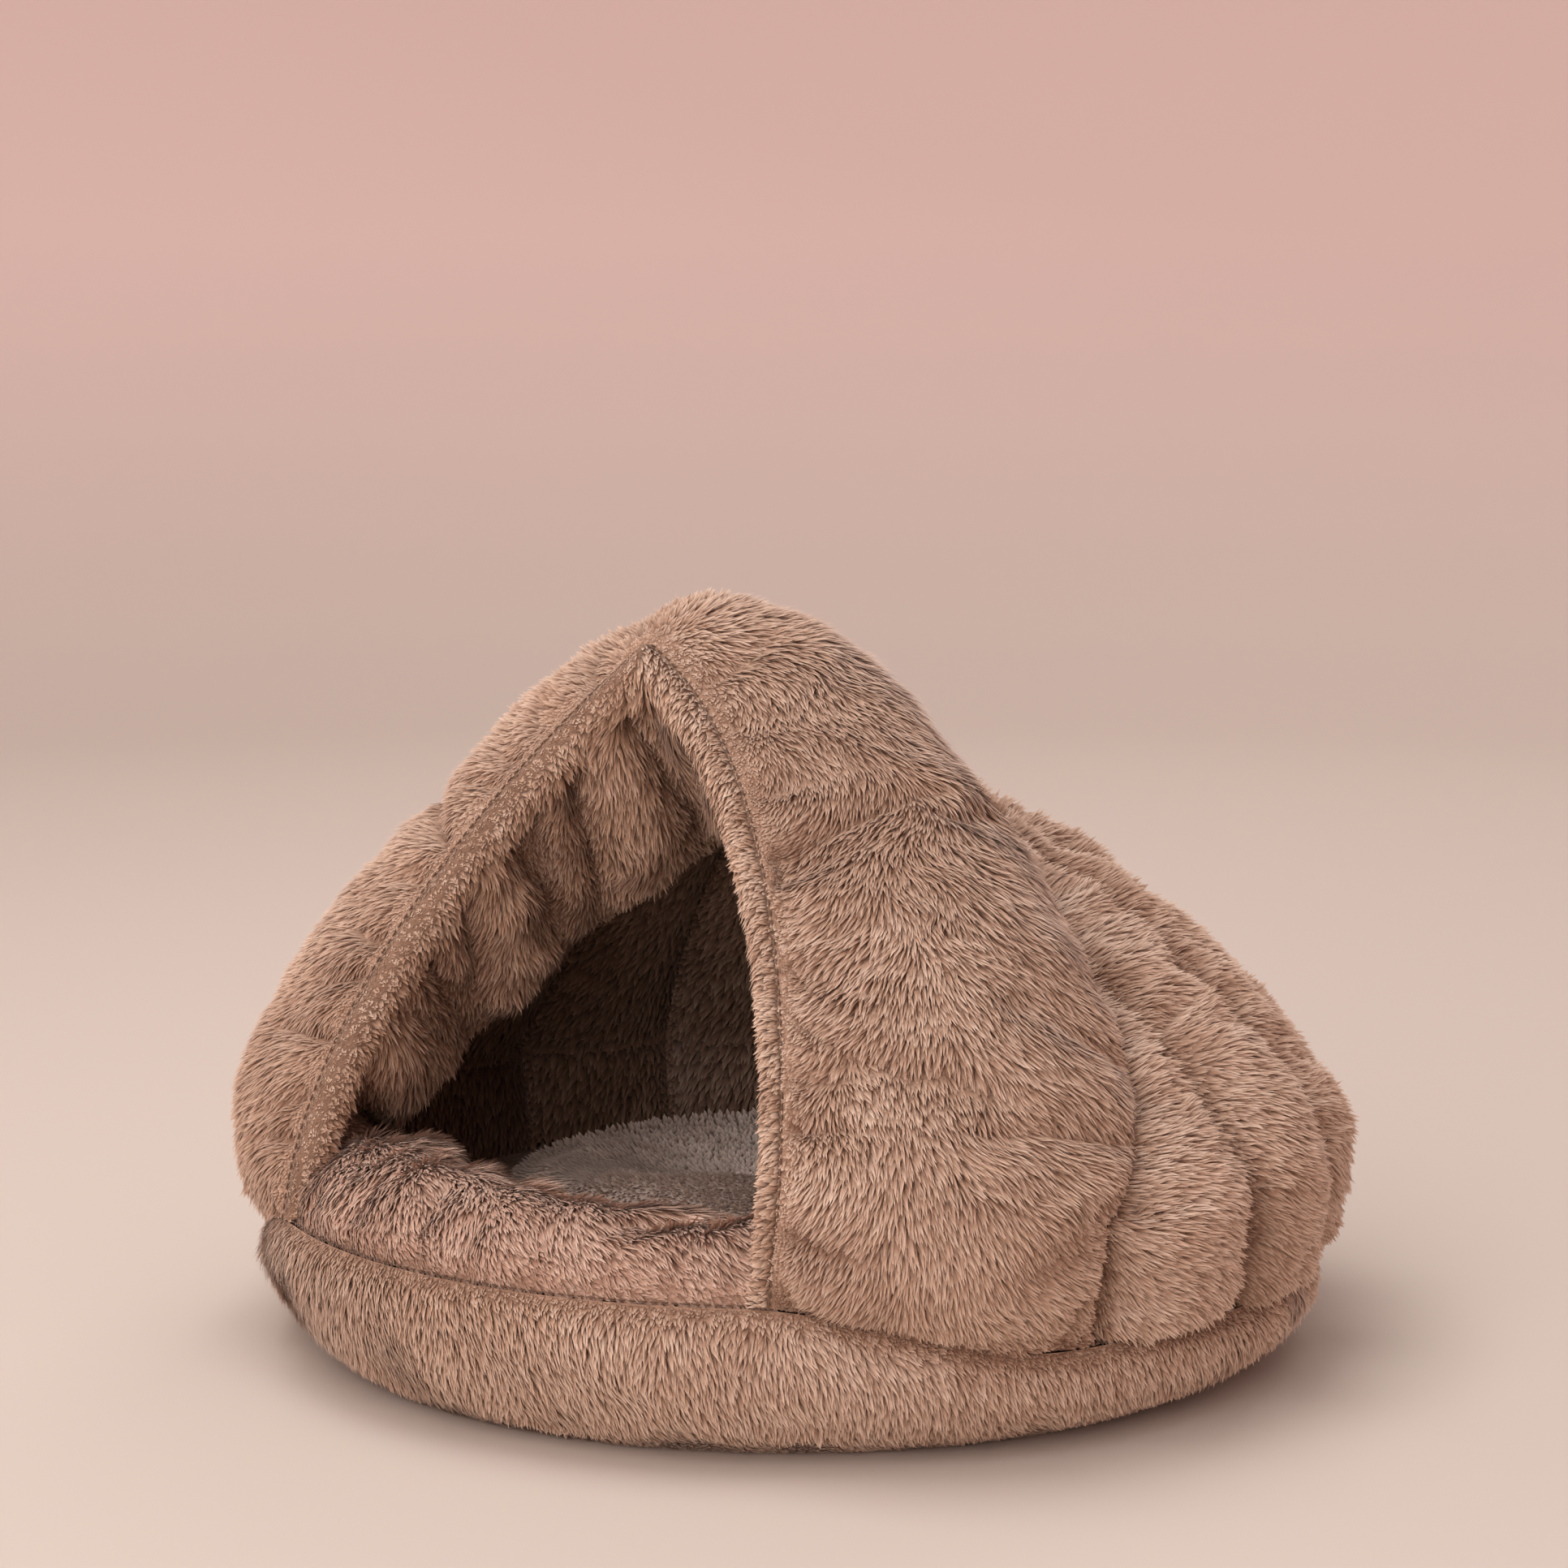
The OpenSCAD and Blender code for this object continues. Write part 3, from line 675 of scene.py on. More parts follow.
def arch_skins():
    """Outer panel of the arch, and its lining together with the lip of the entrance."""
    a = np.linspace(-1, 1, ARCH_STEPS + 1)[:, None] * np.ones(ARCH_WIDE + 1)
    v = np.linspace(0, 1, ARCH_WIDE + 1)[None, :] * np.ones((ARCH_STEPS + 1, 1))
    v = mix(v, ease(0, 1, v), 0.6)
    normal = arch_normal(a)
    foot = RIM_RADIUS * (1 - np.cos(np.radians((ARCH_ANGLE - ENTRANCE_ANGLE) / 2)))
    full = np.where(a > 0, np.sqrt(1 - np.abs(a) ** 6), 1 - np.abs(a) ** 4)
    swell = foot + (ARCH_PUFF - foot) * full + (ARCH_TOP_PUFF - ARCH_PUFF) * (1 - ease(0, 0.5, np.abs(a)))
    edge, rear = entrance_point(a), seam_point(a, np.full_like(a, CREASE))
    crown = np.clip(1 - (2 * v ** 1.2 - 1) ** 2, 0, 1) ** 0.62
    outer = mix(edge, rear, v[..., None]) + normal * (swell * crown)[..., None]
    width = np.linalg.norm(rear - edge, axis=-1)
    run = edge_length(a)
    to_rim = (1 - np.abs(a)) * run.max()
    from_edge, from_rear = v * width, (1 - v) * width
    dips = pucker(run, from_edge, 0.025, 0.0062, 0.010, 0.036, 11) \
        + pucker(run * 1.1, from_rear, 0.045, 0.009, 0.006, 0.035, 12)
    waves = 0.0022 * soft_noise(outer, 0.075, 5)
    fade = np.minimum(ease(0, 0.01, from_edge), ease(0, 0.012, from_rear))
    beside = np.minimum(ease(0, 0.01, from_rear), ease(0, 0.012, from_edge))
    hung = overhang(to_rim) * np.where(a > 0, 1.0, LEFT_ROLL)
    outer = outer + normal * (fade * (dips + waves) + hung * beside)[..., None]
    angle = np.sign(a) * mix(ENTRANCE_ANGLE, ARCH_ANGLE, v)
    seam = np.concatenate([(RIM_RADIUS - RIM_PINCH - 0.001) * heading(angle), rim_z(angle)[..., None]], -1)
    outer = mix(seam, outer, ease(-0.001, 0.007, to_rim)[..., None])
    valley = np.clip(-dips * fade / 0.008, 0, 1)
    nap = (0.14 + 0.86 * ease(0, 0.018, from_edge)) * (0.4 + 0.6 * ease(0, 0.014, from_rear))
    nap = nap * (1 - 0.35 * valley) * (0.45 + 0.55 * ease(0, 0.012, to_rim))
    down = 0.9 * np.clip(a / 0.16, -1, 1)
    side = mix(0.45 + v, 2.4 * (v - 0.34) + 0.7 * soft_noise(outer, 0.09, 9), ease(-0.1, 0.3, a))
    comb = lie_of(outer, down, side)
    comb = unit(comb + 0.45 * swirls(outer, 0.05, (31, 32, 33)))
    sleek = ease(0.1, 0.6, soft_noise(outer, 0.16, 7) + 0.9 * (1 - ease(0.15, 0.6, v)) - 0.3)
    # Painted shade: dark darkens the tone in the valleys of the gathers, along the crease at the rear seam
    # and at the rim seam; the sleek patches are painted darker as painted sheen of flat-lying pile.
    dark = 0.42 * valley + 0.3 * (1 - ease(0, 0.01, from_rear)) + 0.2 * (1 - ease(0, 0.008, to_rim))
    tone = 0.58 - 0.18 * sleek - dark + 0.08 * soft_noise(outer, 0.03, 8)
    skin = sheet_object("arch_cover_skin", outer, comb=comb, nap=nap, tone=tone, sleek=sleek)
    # the lining starts on the outer face, rolls over the lip and runs down the inside
    inner_edge = edge - normal * SEAM_WALL
    inner_rear = seam_point(a, np.full_like(a, CREASE + SEAM_WALL))
    crown = np.clip(1 - (2 * v ** 1.15 - 1) ** 2, 0, 1) ** 0.8
    bulge = crown * (LINING_PUFF * long_pillow((a + 1) / 2) + LINING_HANG * (1 - np.abs(a) ** 8))
    inner = mix(inner_edge, inner_rear, v[..., None]) - normal * bulge[..., None]
    folds = pucker(run, from_edge, 0.027, 0.0072, 0.021, 0.065, 21)
    folds = folds * ease(0, 0.008, from_edge) * ease(0, 0.03, from_rear)
    uneven = 0.003 * soft_noise(inner, 0.045, 22) * ease(0, 0.02, from_edge)
    inner = inner - normal * (folds + uneven)[..., None]
    lip_turn = np.linspace(0, np.pi, LIP_STEPS)
    chord = unit(rear - edge)[:, :1]
    middle = edge[:, :1] - normal[:, :1] * SEAM_WALL / 2
    lip = middle + normal[:, :1] * (np.cos(lip_turn) * SEAM_WALL / 2)[None, :, None] \
        - chord * (np.sin(lip_turn) * LIP_DROP)[None, :, None]
    whole = np.concatenate([lip[:, :-1], inner], 1)
    none = np.zeros_like(lip[:, :-1, 0])
    over_lip = none + (lip_turn[:-1] / np.pi * LIP_GIRTH)[None, :]
    from_seam = np.concatenate([over_lip, LIP_GIRTH + from_edge], 1)
    to_rear = np.concatenate([none + 1, from_rear], 1)
    valley = np.concatenate([none, np.clip(-folds / LINING_VALLEY, 0, 1)], 1)
    down = np.where(np.concatenate([a[:, :LIP_STEPS - 1], a], 1) > 0, 0.55, -0.55)
    comb = lie_of(whole, down, np.full_like(down, 0.9))
    comb = unit(comb + 0.45 * swirls(whole, 0.035, (34, 35, 36)))
    short = np.where(down > 0, 0.4, 0.1)
    near_rear = 1 - ease(0, 0.02, to_rear)
    nap = short + (1.1 - short) * ease(0.007, 0.026, from_seam)
    nap = nap * (1 - 0.7 * near_rear) * (1 - 0.5 * valley)
    # Painted light in the lining's tone: ridge adds a painted highlight on the lip, valley adds painted
    # shade in the folds, and near_rear adds painted shade deep at the rear seam.
    ridge = 1 - ease(0.003, 0.012, from_seam)
    tone = 0.56 + 0.12 * ridge + 0.14 * soft_noise(whole, 0.03, 17) - 0.7 * valley - 0.3 * near_rear
    lining = sheet_object("arch_lining_skin", whole, turned=True, comb=comb, nap=nap, tone=tone)
    return skin, lining


arch_skin, arch_lining = arch_skins()
paint(arch_skin, BACKING)
paint(arch_lining, LINING_BACKING)
place(arch_skin, BED, "long_plush", "arch_cover", "arch_stuffing")
pad_out(arch_skin, 0.007, 0.03)
place(arch_lining, BED, "plush_lining", "arch_lining")


def half_of(piece, name, keep):
    """Copy of a skin with only the faces whose middle passes the test."""
    copy = piece.copy()
    copy.data = piece.data.copy()
    copy.name = name
    copy.parent = None
    for key in list(copy.keys()):
        if key.startswith("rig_"):
            del copy[key]
    bpy.context.scene.collection.objects.link(copy)
    work = bmesh.new()
    work.from_mesh(copy.data)
    spare = [face for face in work.faces if not keep(face.calc_center_median())]
    bmesh.ops.delete(work, geom=spare, context="FACES")
    work.to_mesh(copy.data)
    work.free()
    return copy


def split_pile(name, skin, parts, body, slot, material, seed, **sizes):
    """Pile over one skin as several pieces, so that none gets too heavy."""
    for number, (part, keep) in enumerate(parts.items()):
        patch = half_of(skin, f"{name}_{part}_patch", keep)
        grow_pile(f"{name}_{part}", patch, body, slot, material, seed + number, **sizes)
        bpy.data.objects.remove(patch)


SIDES = {
    "left": lambda p: p.x < -0.06,
    "middle": lambda p: -0.06 <= p.x <= 0.06,
    "right": lambda p: p.x > 0.06,
}
split_pile("arch_pile", arch_skin, SIDES, BED, "long_plush", PLUSH, 100)
split_pile("arch_lining_pile", arch_lining, SIDES, BED, "plush_lining", INNER, 110, Length=0.011, Swirl=0.45)

# ---- gores ----
GORE_ROWS, GORE_WIDE = 90, 26
UNDER_ARCH = 0.012            # how much lower f starts than at the arch's seam, so gores tuck under it
GORE_SEAM = CREASE + 0.005    # how deep two gores meet


def even_rows(angle, start):
    """Values of f that space the rows of a gore evenly from its tip to the rim."""
    fine = mix(start[0], 2.0, np.linspace(0, 1, 600)[:, None])
    line = dome(angle[0] + 0 * fine, fine)
    columns = line.shape[1]
    run = np.linalg.norm(np.diff(line, axis=0), axis=-1).cumsum(0)
    run = np.concatenate([np.zeros((1, columns)), run])
    even = np.linspace(0, 1, len(angle))
    return np.stack([np.interp(even * run[-1, j], run[:, j], fine[:, j]) for j in range(columns)], 1)


def gore_skins(k):
    """Outer and inner skin of gore k, counted from the right leg of the arch."""
    step = (360 - 2 * ARCH_ANGLE) / len(GORES)
    v = np.linspace(0, 1, GORE_WIDE + 1)[None, :] * np.ones((GORE_ROWS + 1, 1))
    v = mix(v, ease(0, 1, v), 0.4)
    angle = ARCH_ANGLE + (k + v) * step
    start = seam_f(np.where(angle > 180, 360 - angle, angle)) - UNDER_ARCH
    f = even_rows(angle, start)
    t = (f - start) / (2 - start)
    base, normal = dome(angle, f), dome_normal(angle, f)
    tip = np.where(t < 0.5, long_pillow(t), 1)
    round_off = np.clip(1 - (2 * v - 1) ** 2, 0, 1) ** 0.6
    outer_depth = mix(GORE_SEAM, RIM_PINCH * t ** 6, round_off * tip)
    outer = base - normal * outer_depth[..., None]
    arc = np.linalg.norm(np.gradient(outer, axis=0), axis=-1).cumsum(0)
    wide = np.linalg.norm(np.gradient(outer, axis=1), axis=-1).sum(1, keepdims=True)
    near = np.minimum(v, 1 - v) * wide
    side = np.where(v < 0.5, -1.0, 1.0)
    dips = pucker(arc * side + side, near, 0.028, 0.005, 0.0022, 0.018, 40 + k)
    to_rim = (1 - t) * arc.max()
    fade = ease(0, 0.01, near) * ease(0, 0.02, to_rim)
    waves = 0.0022 * soft_noise(outer, 0.07, 50 + k)
    shift = fade * (dips + waves) + overhang(to_rim) * ease(0, 0.012, near)
    outer = outer + normal * shift[..., None]
    comb = lie_of(outer, np.full_like(v, 0.75), np.full_like(v, 0.7 if k <= SIDE_GORES else -0.7))
    comb = unit(comb + 0.3 * swirls(outer, 0.06, (41, 42, 43)))
    nap = (0.35 + 0.65 * ease(0, 0.012, near)) * (0.5 + 0.5 * ease(0, 0.012, to_rim))
    sleek = ease(0.1, 0.7, soft_noise(outer, 0.12, 60 + k) + 0.7 * (1 - ease(0.05, 0.5, v)) - 0.35)
    # Painted shade: dark darkens the tone along the creases between gores and at the rim seam, and the dips
    # of the gathers are painted darker too; the sleek patches are painted darker as painted sheen of
    # flat-lying pile.
    dark = 0.42 * (1 - ease(0, 0.012, near)) * tip + 0.2 * (1 - ease(0, 0.008, to_rim))
    tone = 0.62 - 0.2 * sleek - dark - 0.3 * np.clip(-dips * fade / 0.002, 0, 1)
    cover = sheet_object(f"gore_skin_{GORES_ROUND[k]}", outer, comb=comb, nap=nap, tone=tone, sleek=sleek)
    crown = pillow(v) * tip
    rim_wall = RIM_PINCH + SEAM_WALL + 0.008
    inner_depth = mix(CREASE + SEAM_WALL, mix(GORE_THICKNESS, rim_wall, t ** 6), crown)
    inner = base - normal * inner_depth[..., None]
    inner[..., 2] = np.maximum(inner[..., 2], FLOOR)
    comb = lie_of(inner, np.full_like(v, 0.9), np.full_like(v, 0.3))
    lining = sheet_object(f"gore_lining_skin_{GORES_ROUND[k]}", inner, turned=True, comb=comb,
                          nap=0.4 + 0.6 * ease(0, 0.012, near),
                          tone=0.5 + 0.2 * soft_noise(inner, 0.06, 70 + k))
    return cover, lining


RIGHT = [f"right_{i + 1}" for i in range(SIDE_GORES)]
LEFT = [f"left_{SIDE_GORES - i}" for i in range(SIDE_GORES)]
GORES_ROUND = RIGHT + ["rear"] + LEFT
for k, gore in enumerate(GORES_ROUND):
    cover, lining = gore_skins(k)
    paint(cover, BACKING)
    paint(lining, LINING_BACKING)
    place(cover, BED, "long_plush", f"gore_cover_{gore}", f"gore_stuffing_{gore}")
    pad_out(cover, 0.005, 0.03)
    place(lining, BED, "plush_lining", f"gore_lining_{gore}")
    grow_pile(f"gore_pile_{gore}", cover, BED, "long_plush", PLUSH, 200 + k)
    grow_pile(f"gore_lining_pile_{gore}", lining, BED, "plush_lining", SHADED_LINING, 230 + k,
              Width=0.0022, Spacing=0.0019)

# ---- base ----
BAND_STEPS, BAND_HIGH = 360, 30


def band_skin():
    angle = np.linspace(0, 360, BAND_STEPS, endpoint=False)[:, None] * np.ones(BAND_HIGH + 1)
    s = np.linspace(0, 1, BAND_HIGH + 1)[None, :] * np.ones((BAND_STEPS, 1))
    z = s * (rim_z(angle) - 0.001)
    radius = RIM_RADIUS - BASE_TUCK * (1 - s) ** BASE_CURVE - RIM_PINCH * s ** 6
    radius = radius - 0.0015 * (1 - ease(0, 0.004, (1 - s) * z))
    points = np.concatenate([radius[..., None] * heading(angle), z[..., None]], -1)
    high = (1 - s) * rim_z(angle)
    dips = pucker(np.radians(angle) * RIM_RADIUS, high, 0.034, 0.006, 0.0024, 0.025, 81)
    shift = ease(0, 0.01, high) * ease(0, 0.3, s) * (dips + 0.0012 * soft_noise(points, 0.08, 82))
    points[..., :2] += heading(angle) * shift[..., None]
    around = unit(np.roll(points, -1, 0) - np.roll(points, 1, 0))
    up = unit(np.gradient(points, axis=1))
    down = -up * (0.9 * ease(0.002, 0.016, z))[..., None]
    comb = unit(around * 0.3 + down + 0.5 * swirls(points, 0.05, (84, 85, 86)))
    nap = (0.3 + 0.7 * ease(0, 0.012, high)) * (0.35 + 0.65 * ease(0.0, 0.02, z))
    # Painted shade: the tone darkens just below the rim seam, under the panels that hang over it.
    tone = 0.66 + 0.1 * soft_noise(points, 0.1, 83) - 0.3 * (1 - ease(0, 0.008, high))
    return sheet_object("base_band_skin", points, comb=comb, nap=nap, tone=tone, around=True)


band = band_skin()
paint(band, BACKING)
place(band, BED, "long_plush", "base_band")
QUARTERS = {
    "front_right": lambda p: p.y < 0 and p.x >= 0,
    "front_left": lambda p: p.y < 0 and p.x < 0,
    "rear_right": lambda p: p.y >= 0 and p.x >= 0,
    "rear_left": lambda p: p.y >= 0 and p.x < 0,
}
split_pile("band_pile", band, QUARTERS, BED, "long_plush", PLUSH, 300, Length=0.008, Lift=0.62)

# ---- sill ----
SILL_LONG, SILL_WIDE = 120, 60
SILL_TOP = 0.45               # where the crest lies across the sill, from 0 at the rim to 1 inside


def sill_skin():
    t = np.linspace(-1, 1, SILL_LONG + 1)[:, None] * np.ones(SILL_WIDE + 1)
    w = np.linspace(0, 1, SILL_WIDE + 1)[None, :] * np.ones((SILL_LONG + 1, 1))
    angle = t * (ENTRANCE_ANGLE + 0.6 + 9 * ease(0.1, 0.8, w))
    radius = mix(RIM_RADIUS - RIM_PINCH, RIM_RADIUS - SILL_DEPTH, w)
    low = mix(rim_z(angle), FLOOR, w)
    slumped = ease(-0.25, 0.35, t)
    front = np.clip(1 - (1 - w / SILL_TOP) ** 2, 0, 1) ** 0.6
    behind = np.clip((w - SILL_TOP) / (1 - SILL_TOP), 0, 1)
    back = 1 - mix(0.04, 0.2, slumped) * ease(0, 0.6, behind)
    back = back * np.clip(1 - behind ** mix(9, 4, slumped), 0, 1) ** 0.6
    top = SILL_CREST + 0.001 * soft_noise(np.stack([angle / 30, 0 * w, 0 * w], -1), 1.2, 90)
    z = np.where(w < SILL_TOP, mix(low, top, front), FLOOR + (top - FLOOR) * back)
    points = np.concatenate([radius[..., None] * heading(angle), z[..., None]], -1)
    away = w * SILL_DEPTH
    dips = pucker(t * 0.13, away, 0.027, 0.006, 0.004, 0.03, 91)
    shift = ease(0, 0.012, away) * (dips + 0.0022 * soft_noise(points, 0.05, 92))
    shift = shift - 0.004 * (1 - ease(0, 0.006, away))
    points = points + grid_normals(points) * shift[..., None]
    comb = lie_of(points, np.full_like(t, 0.8), -0.9 + 1.5 * ease(0.35, 0.6, w))
    comb = unit(comb + 0.35 * swirls(points, 0.05, (93, 94, 95)))
    nap = 0.3 + 0.7 * ease(0, 0.014, away)
    tone = 0.56 + 0.18 * soft_noise(points, 0.04, 96)
    # Painted shade: the tone darkens in the dips of the gathers and on the inner slope behind the crest,
    # which faces into the cave.
    tone = tone - 0.3 * np.clip(-dips / 0.003, 0, 1) - 0.25 * ease(0.5, 0.7, w)
    return sheet_object("sill_skin", points, comb=comb, nap=nap, tone=tone)


sill = sill_skin()
paint(sill, BACKING)
place(sill, BED, "long_plush", "sill_cover", "sill_stuffing")
pad_out(sill, 0.005, 0.04)
grow_pile("sill_pile", sill, BED, "long_plush", SLEEK, 400, Length=0.0105, Swirl=0.25, Lift=0.4,
          Tone_Spread=0.26)

# ---- loose cushion ----
CUSHION_LOW, CUSHION_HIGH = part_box("cushion_underside")[0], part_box("cushion_top")[1]
CUSHION_SEAM_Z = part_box("cushion_top")[0].z
CUSHION_SLUMP = 0.007         # how much the used cushion has gone flat
CUSHION_AROUND, CUSHION_UP = 96, 25
CUSHION_EDGE = 0.6            # share of the radius beyond which the seam draws the cloth in


def cushion_skin():
    """Closed skin: swollen by its filling, drawn in at its seam, and gone flat with use."""
    middle = np.array([(CUSHION_LOW.x + CUSHION_HIGH.x) / 2, (CUSHION_LOW.y + CUSHION_HIGH.y) / 2])
    radius = (CUSHION_HIGH.x - CUSHION_LOW.x) / 2
    turn = np.radians(np.linspace(0, 360, CUSHION_AROUND, endpoint=False))[:, None] * np.ones(CUSHION_UP)
    rise = np.radians(np.linspace(-90, 90, CUSHION_UP))[None, :] * np.ones((CUSHION_AROUND, 1))
    ring = (radius - 0.006) * np.cos(rise) ** 0.5
    above, below = CUSHION_HIGH.z - CUSHION_SEAM_Z - 0.016, CUSHION_SEAM_Z - CUSHION_LOW.z - 0.003
    tall = np.where(rise > 0, above, below)
    z = CUSHION_SEAM_Z + tall * np.sign(rise) * np.abs(np.sin(rise)) ** 0.7
    points = np.stack([middle[0] + ring * np.cos(turn), middle[1] + ring * np.sin(turn), z], -1)
    piece = remeshed(sheet_object("cushion_skin", points, around=True), 0.0055)
    puff(piece, CUSHION_PRESSURE, 0.012)
    points = places_of(piece.data)
    off = points[:, :2] - middle
    reach = np.linalg.norm(off, axis=1)
    outside = ease(CUSHION_EDGE, 0.9, reach / radius)
    beside = np.exp(-((points[:, 2] - CUSHION_SEAM_Z) / 0.005) ** 2) * outside
    around = np.arctan2(off[:, 1], off[:, 0])
    gathers = pucker(around * radius, np.abs(points[:, 2] - CUSHION_SEAM_Z), 0.03, 0.006, 0.003, 0.02, 71)
    inset = 0.003 * beside - gathers * outside
    points[:, :2] -= off / np.maximum(reach, 1e-6)[:, None] * inset[:, None]
    over_seam = points[:, 2] - CUSHION_SEAM_Z
    far_left = ease(-0.06, 0.1, (off[:, 1] - off[:, 0]) / 1.4)
    slump = 0.015 * np.exp(-(reach / 0.085) ** 2) + 0.013 * far_left - 0.003 * soft_noise(points, 0.1, 72)
    flatter = CUSHION_SLUMP * np.clip(over_seam / (CUSHION_HIGH.z - CUSHION_SEAM_Z), 0, 1)
    points[:, 2] -= np.where(over_seam > 0, flatter + slump * ease(0, 0.02, over_seam), 0)
    off = points[:, :2] - middle
    shrink = np.minimum(1, (radius + 0.001) / np.maximum(np.linalg.norm(off, axis=1), 1e-9))
    points[:, :2] = middle + off * shrink[:, None]
    points[:, 2] = np.clip(points[:, 2], CUSHION_LOW.z, CUSHION_HIGH.z + 0.001)
    move_to(piece, points)
    smoothed(piece)
    points = places_of(piece.data)
    off = points[:, :2] - middle
    comb = np.concatenate([off + 0.03, np.zeros((len(points), 1))], 1)
    nap = ease(-0.002, 0.004, points[:, 2] - CUSHION_LOW.z)
    store_values(piece.data, "FLOAT_VECTOR", comb=comb)
    store_values(piece.data, "FLOAT", nap=nap, tone=0.55 + 0.2 * soft_noise(points, 0.07, 73))
    return piece


cushion = cushion_skin()
paint(cushion, CUSHION_BACKING)
place(cushion, CUSHION, "cushion_plush", "cushion_top", "cushion_underside", "cushion_filling")
grow_pile("cushion_pile", cushion, CUSHION, "cushion_plush", PALE, 500, Length=0.004, Width=0.0019,
          Spacing=0.0017, Lift=0.8, Swirl=0.5, Clump=0.3)

# ---- stitches along the seams ----
def stitch_tree():
    """Beads of thread, evenly spaced along a line."""
    tree = bpy.data.node_groups.new("stitch_line", "GeometryNodeTree")
    face = tree.interface
    face.new_socket("Seam", in_out="INPUT", socket_type="NodeSocketGeometry")
    for key, value in {"Spacing": 0.0042, "Length": 0.0034, "Thickness": 0.0009}.items():
        face.new_socket(key, in_out="INPUT", socket_type="NodeSocketFloat").default_value = value
    face.new_socket("Material", in_out="INPUT", socket_type="NodeSocketMaterial")
    face.new_socket("Stitches", in_out="OUTPUT", socket_type="NodeSocketGeometry")
    given = add(tree, "NodeGroupInput").outputs
    line = add(tree, "GeometryNodeMeshToCurve", {"Mesh": given["Seam"]}).outputs["Curve"]
    line = add(tree, "GeometryNodeResampleCurve", {"Curve": line, "Length": given["Spacing"]}, mode="LENGTH")
    tangent = add(tree, "GeometryNodeInputTangent").outputs["Tangent"]
    turn = add(tree, "FunctionNodeAlignRotationToVector", {"Vector": tangent}, axis="Z").outputs["Rotation"]
    bead = add(tree, "GeometryNodeMeshIcoSphere", {"Radius": 0.5, "Subdivisions": 1}).outputs["Mesh"]
    size = add(tree, "ShaderNodeCombineXYZ", {"X": given["Thickness"], "Y": given["Thickness"],
                                              "Z": given["Length"]}).outputs[0]
    row = add(tree, "GeometryNodeInstanceOnPoints", {"Points": line.outputs["Curve"], "Instance": bead,
                                                     "Rotation": turn, "Scale": size}).outputs["Instances"]
    row = add(tree, "GeometryNodeRealizeInstances", {"Geometry": row}).outputs["Geometry"]
    row = add(tree, "GeometryNodeSetShadeSmooth", {"Geometry": row}).outputs["Geometry"]
    row = add(tree, "GeometryNodeSetMaterial",
              {"Geometry": row, "Material": given["Material"]}).outputs["Geometry"]
    add(tree, "NodeGroupOutput", {"Stitches": row})
    return tree


STITCHES = stitch_tree()


def sew(name, points, body, slot, closed=False, **sizes):
    """A row of stitches along a line of points."""
    count = len(points)
    edges = [(i, (i + 1) % count) for i in range(count if closed else count - 1)]
    mesh = bpy.data.meshes.new(name + "_line")
    mesh.from_pydata(points.tolist(), edges, [])
    line = bpy.data.objects.new(name + "_line", mesh)
    bpy.context.scene.collection.objects.link(line)
    made = build(STITCHES, line, name, Material=THREAD, **sizes)
    bpy.data.objects.remove(line)
    return place(made, body, slot)


def seam_lines():
    a = np.linspace(-0.995, 0.995, 240)
    sew("entrance_stitches", entrance_point(a) + arch_normal(a) * 0.0008, BED, "long_plush")
    angle = np.linspace(0, 360, 300, endpoint=False)
    rim = np.concatenate([(RIM_RADIUS - RIM_PINCH - 0.002) * heading(angle), rim_z(angle)[:, None]], 1)
    sew("rim_stitches", rim, BED, "long_plush", closed=True)


seam_lines()

# ---- CAD pieces that stay ----
def foam_material():
    material, tree, shader = new_material("open_cell_foam", 0.9)
    spot = add(tree, "ShaderNodeTexCoord").outputs["Object"]
    cells = add(tree, "ShaderNodeTexVoronoi", {"Vector": spot, "Scale": 700.0}).outputs["Distance"]
    colour = ramp(tree, cells, [(0.1, (0.62, 0.57, 0.42)), (0.6, (0.80, 0.76, 0.62))])
    tree.links.new(colour, shader.inputs["Base Color"])
    pits = add(tree, "ShaderNodeBump", {"Height": cells, "Strength": 0.6, "Distance": 0.0008})
    tree.links.new(pits.outputs["Normal"], shader.inputs["Normal"])
    return material


THREADS = 5200.0              # fineness of the non-slip cloth, in radians of its weave's wave per metre


def sheet_material():
    """Woven non-slip cloth under the base."""
    material, tree, shader = new_material("non_slip_cloth", 0.75)
    spot = add(tree, "ShaderNodeSeparateXYZ", {0: add(tree, "ShaderNodeTexCoord").outputs["Object"]}).outputs
    warp = calc(tree, "SINE", calc(tree, "MULTIPLY", spot["X"], THREADS))
    weft = calc(tree, "SINE", calc(tree, "MULTIPLY", spot["Y"], THREADS))
    weave = calc(tree, "MULTIPLY_ADD", calc(tree, "MULTIPLY", warp, weft), 0.5, 0.5)
    colour = ramp(tree, weave, [(0.0, (0.055, 0.045, 0.04)), (1.0, (0.13, 0.105, 0.092))])
    tree.links.new(colour, shader.inputs["Base Color"])
    relief = add(tree, "ShaderNodeBump", {"Height": weave, "Strength": 0.5, "Distance": 0.0003})
    tree.links.new(relief.outputs["Normal"], shader.inputs["Normal"])
    return material


SHEET = sheet_material()
FOAM = foam_material()
for node, material in (("base_foam", FOAM), ("base_sheet", SHEET), ("floor_cover", LINING_BACKING)):
    paint(bpy.data.objects[node], material)


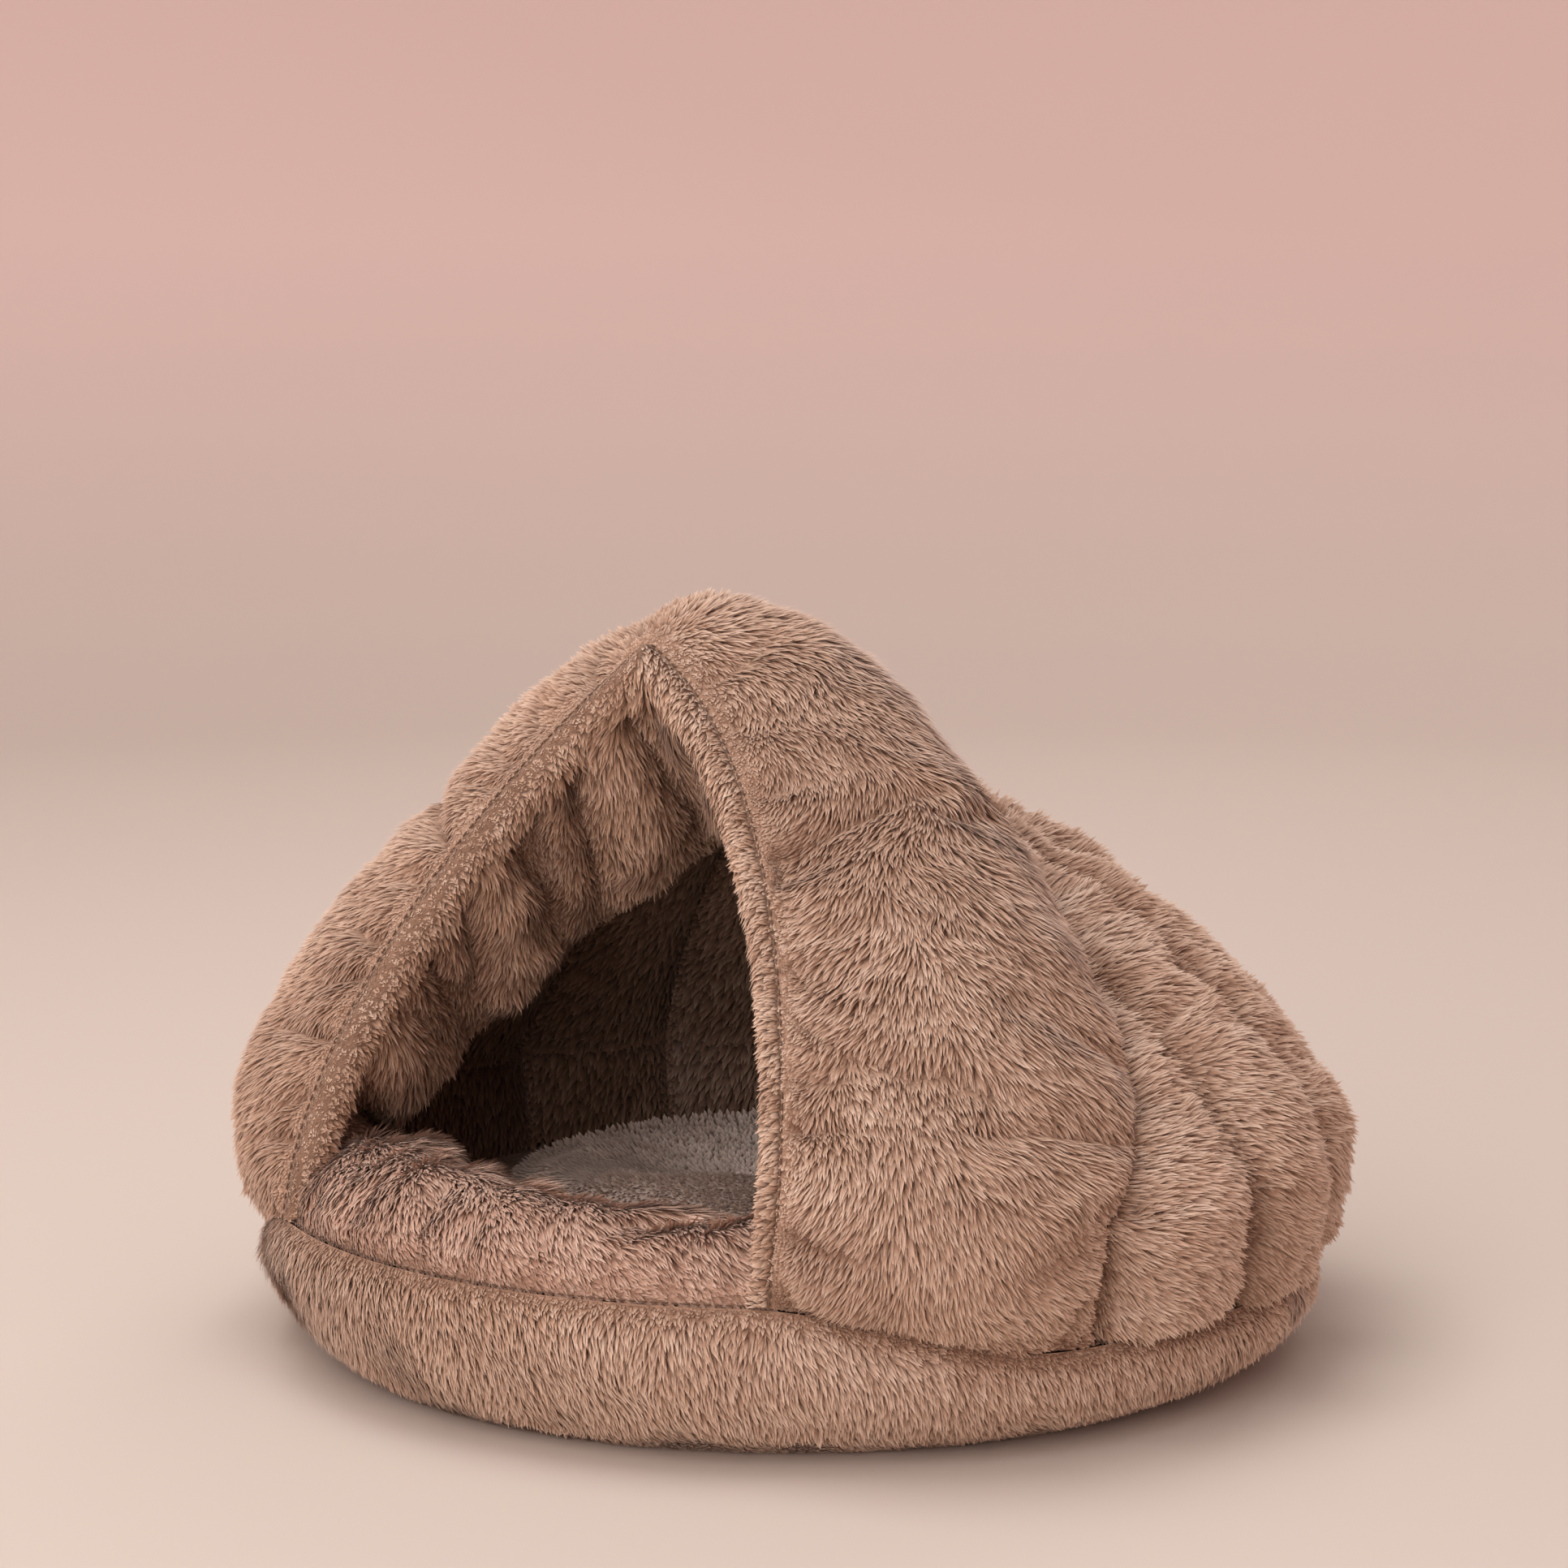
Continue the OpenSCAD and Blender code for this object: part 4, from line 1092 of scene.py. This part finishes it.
# ---- studio ----
def studio_material():
    """Pale floor that turns into a warmer wall as it rises."""
    material, tree, shader = new_material("studio_pale", 0.95, specular=0.1)
    spot = add(tree, "ShaderNodeTexCoord").outputs["Object"]
    height = add(tree, "ShaderNodeSeparateXYZ", {0: spot}).outputs["Z"]
    cloudy = add(tree, "ShaderNodeTexNoise", {"Vector": spot, "Scale": 3.0}).outputs["Fac"]
    mixed = calc(tree, "MULTIPLY_ADD", cloudy, 0.02, height)
    colour = ramp(tree, mixed, [(0.0, (0.66, 0.59, 0.53)), (0.5, (0.89, 0.69, 0.65))])
    tree.links.new(colour, shader.inputs["Base Color"])
    return material


FLAT, BEND, WALL_TOP = 2.2, 1.3, 3.2  # flat part of the studio floor, radius of its bend, and its height


def studio():
    # a round sweep: flat round the bed, then rising all round into a wall
    turn = np.radians(np.linspace(0, 360, 128, endpoint=False))[:, None]
    bend = np.radians(np.linspace(0, 90, 24))
    reach = np.concatenate([[0.001, 0.5, 1.5], FLAT + BEND * np.sin(bend), [FLAT + BEND]])[None, :]
    rise = np.concatenate([[0, 0, 0], BEND * (1 - np.cos(bend)), [WALL_TOP]])[None, :]
    points = np.stack([reach * np.cos(turn), reach * np.sin(turn), rise * np.ones_like(turn)], -1)
    floor = sheet_object("studio_floor", points, around=True)
    paint(floor, studio_material())
    world = bpy.data.worlds.new("studio")
    bpy.context.scene.world = world
    world.use_nodes = True
    world.node_tree.nodes["Background"].inputs["Color"].default_value = (1.0, 0.94, 0.91, 1)
    world.node_tree.nodes["Background"].inputs["Strength"].default_value = 0.5
    for name, spot, size, power, colour in [  # metres, metres, watts
        ("key", (-0.1, -1.8, 1.9), 1.5, 13, (1.0, 0.96, 0.93)),
        ("top", (-0.5, -0.2, 2.6), 1.8, 29, (1.0, 0.97, 0.95)),
        ("low", (0.5, -2.0, 0.75), 1.1, 13, (1.0, 0.95, 0.92)),
        ("back", (-0.5, 2.1, 1.8), 1.4, 8, (1.0, 0.96, 0.94)),
        ("fill", (-1.9, -1.2, 1.1), 1.5, 2.5, (1.0, 0.95, 0.92)),
    ]:
        lamp = bpy.data.lights.new(name, "AREA")
        lamp.size = size
        lamp.energy = power
        lamp.color = colour
        holder = bpy.data.objects.new(name, lamp)
        holder.location = spot
        aim = Vector((0, 0, 0.12)) - Vector(spot)
        holder.rotation_euler = aim.to_track_quat("-Z", "Y").to_euler()
        bpy.context.scene.collection.objects.link(holder)
    bpy.context.scene.view_settings.view_transform = "Standard"


studio()


def camera():
    """Looks at the bed from the right of its entrance, a little from above."""
    azimuth, elevation, distance = np.radians(35), np.radians(11), 1.7
    target = Vector((0, 0, 0.130))
    level = np.cos(elevation)
    back = Vector((np.sin(azimuth) * level, -np.cos(azimuth) * level, np.sin(elevation)))
    right = Vector((np.cos(azimuth), np.sin(azimuth), 0))
    up = back.cross(right)
    lens = bpy.data.cameras.new("camera")
    lens.sensor_width = 36
    lens.lens = 90.5
    holder = bpy.data.objects.new("camera", lens)
    holder.location = target + back * distance
    aim = target + up * 0.1047 - right * 0.0021
    holder.rotation_euler = (aim - holder.location).to_track_quat("-Z", "Y").to_euler()
    bpy.context.scene.collection.objects.link(holder)
    bpy.context.scene.camera = holder


camera()
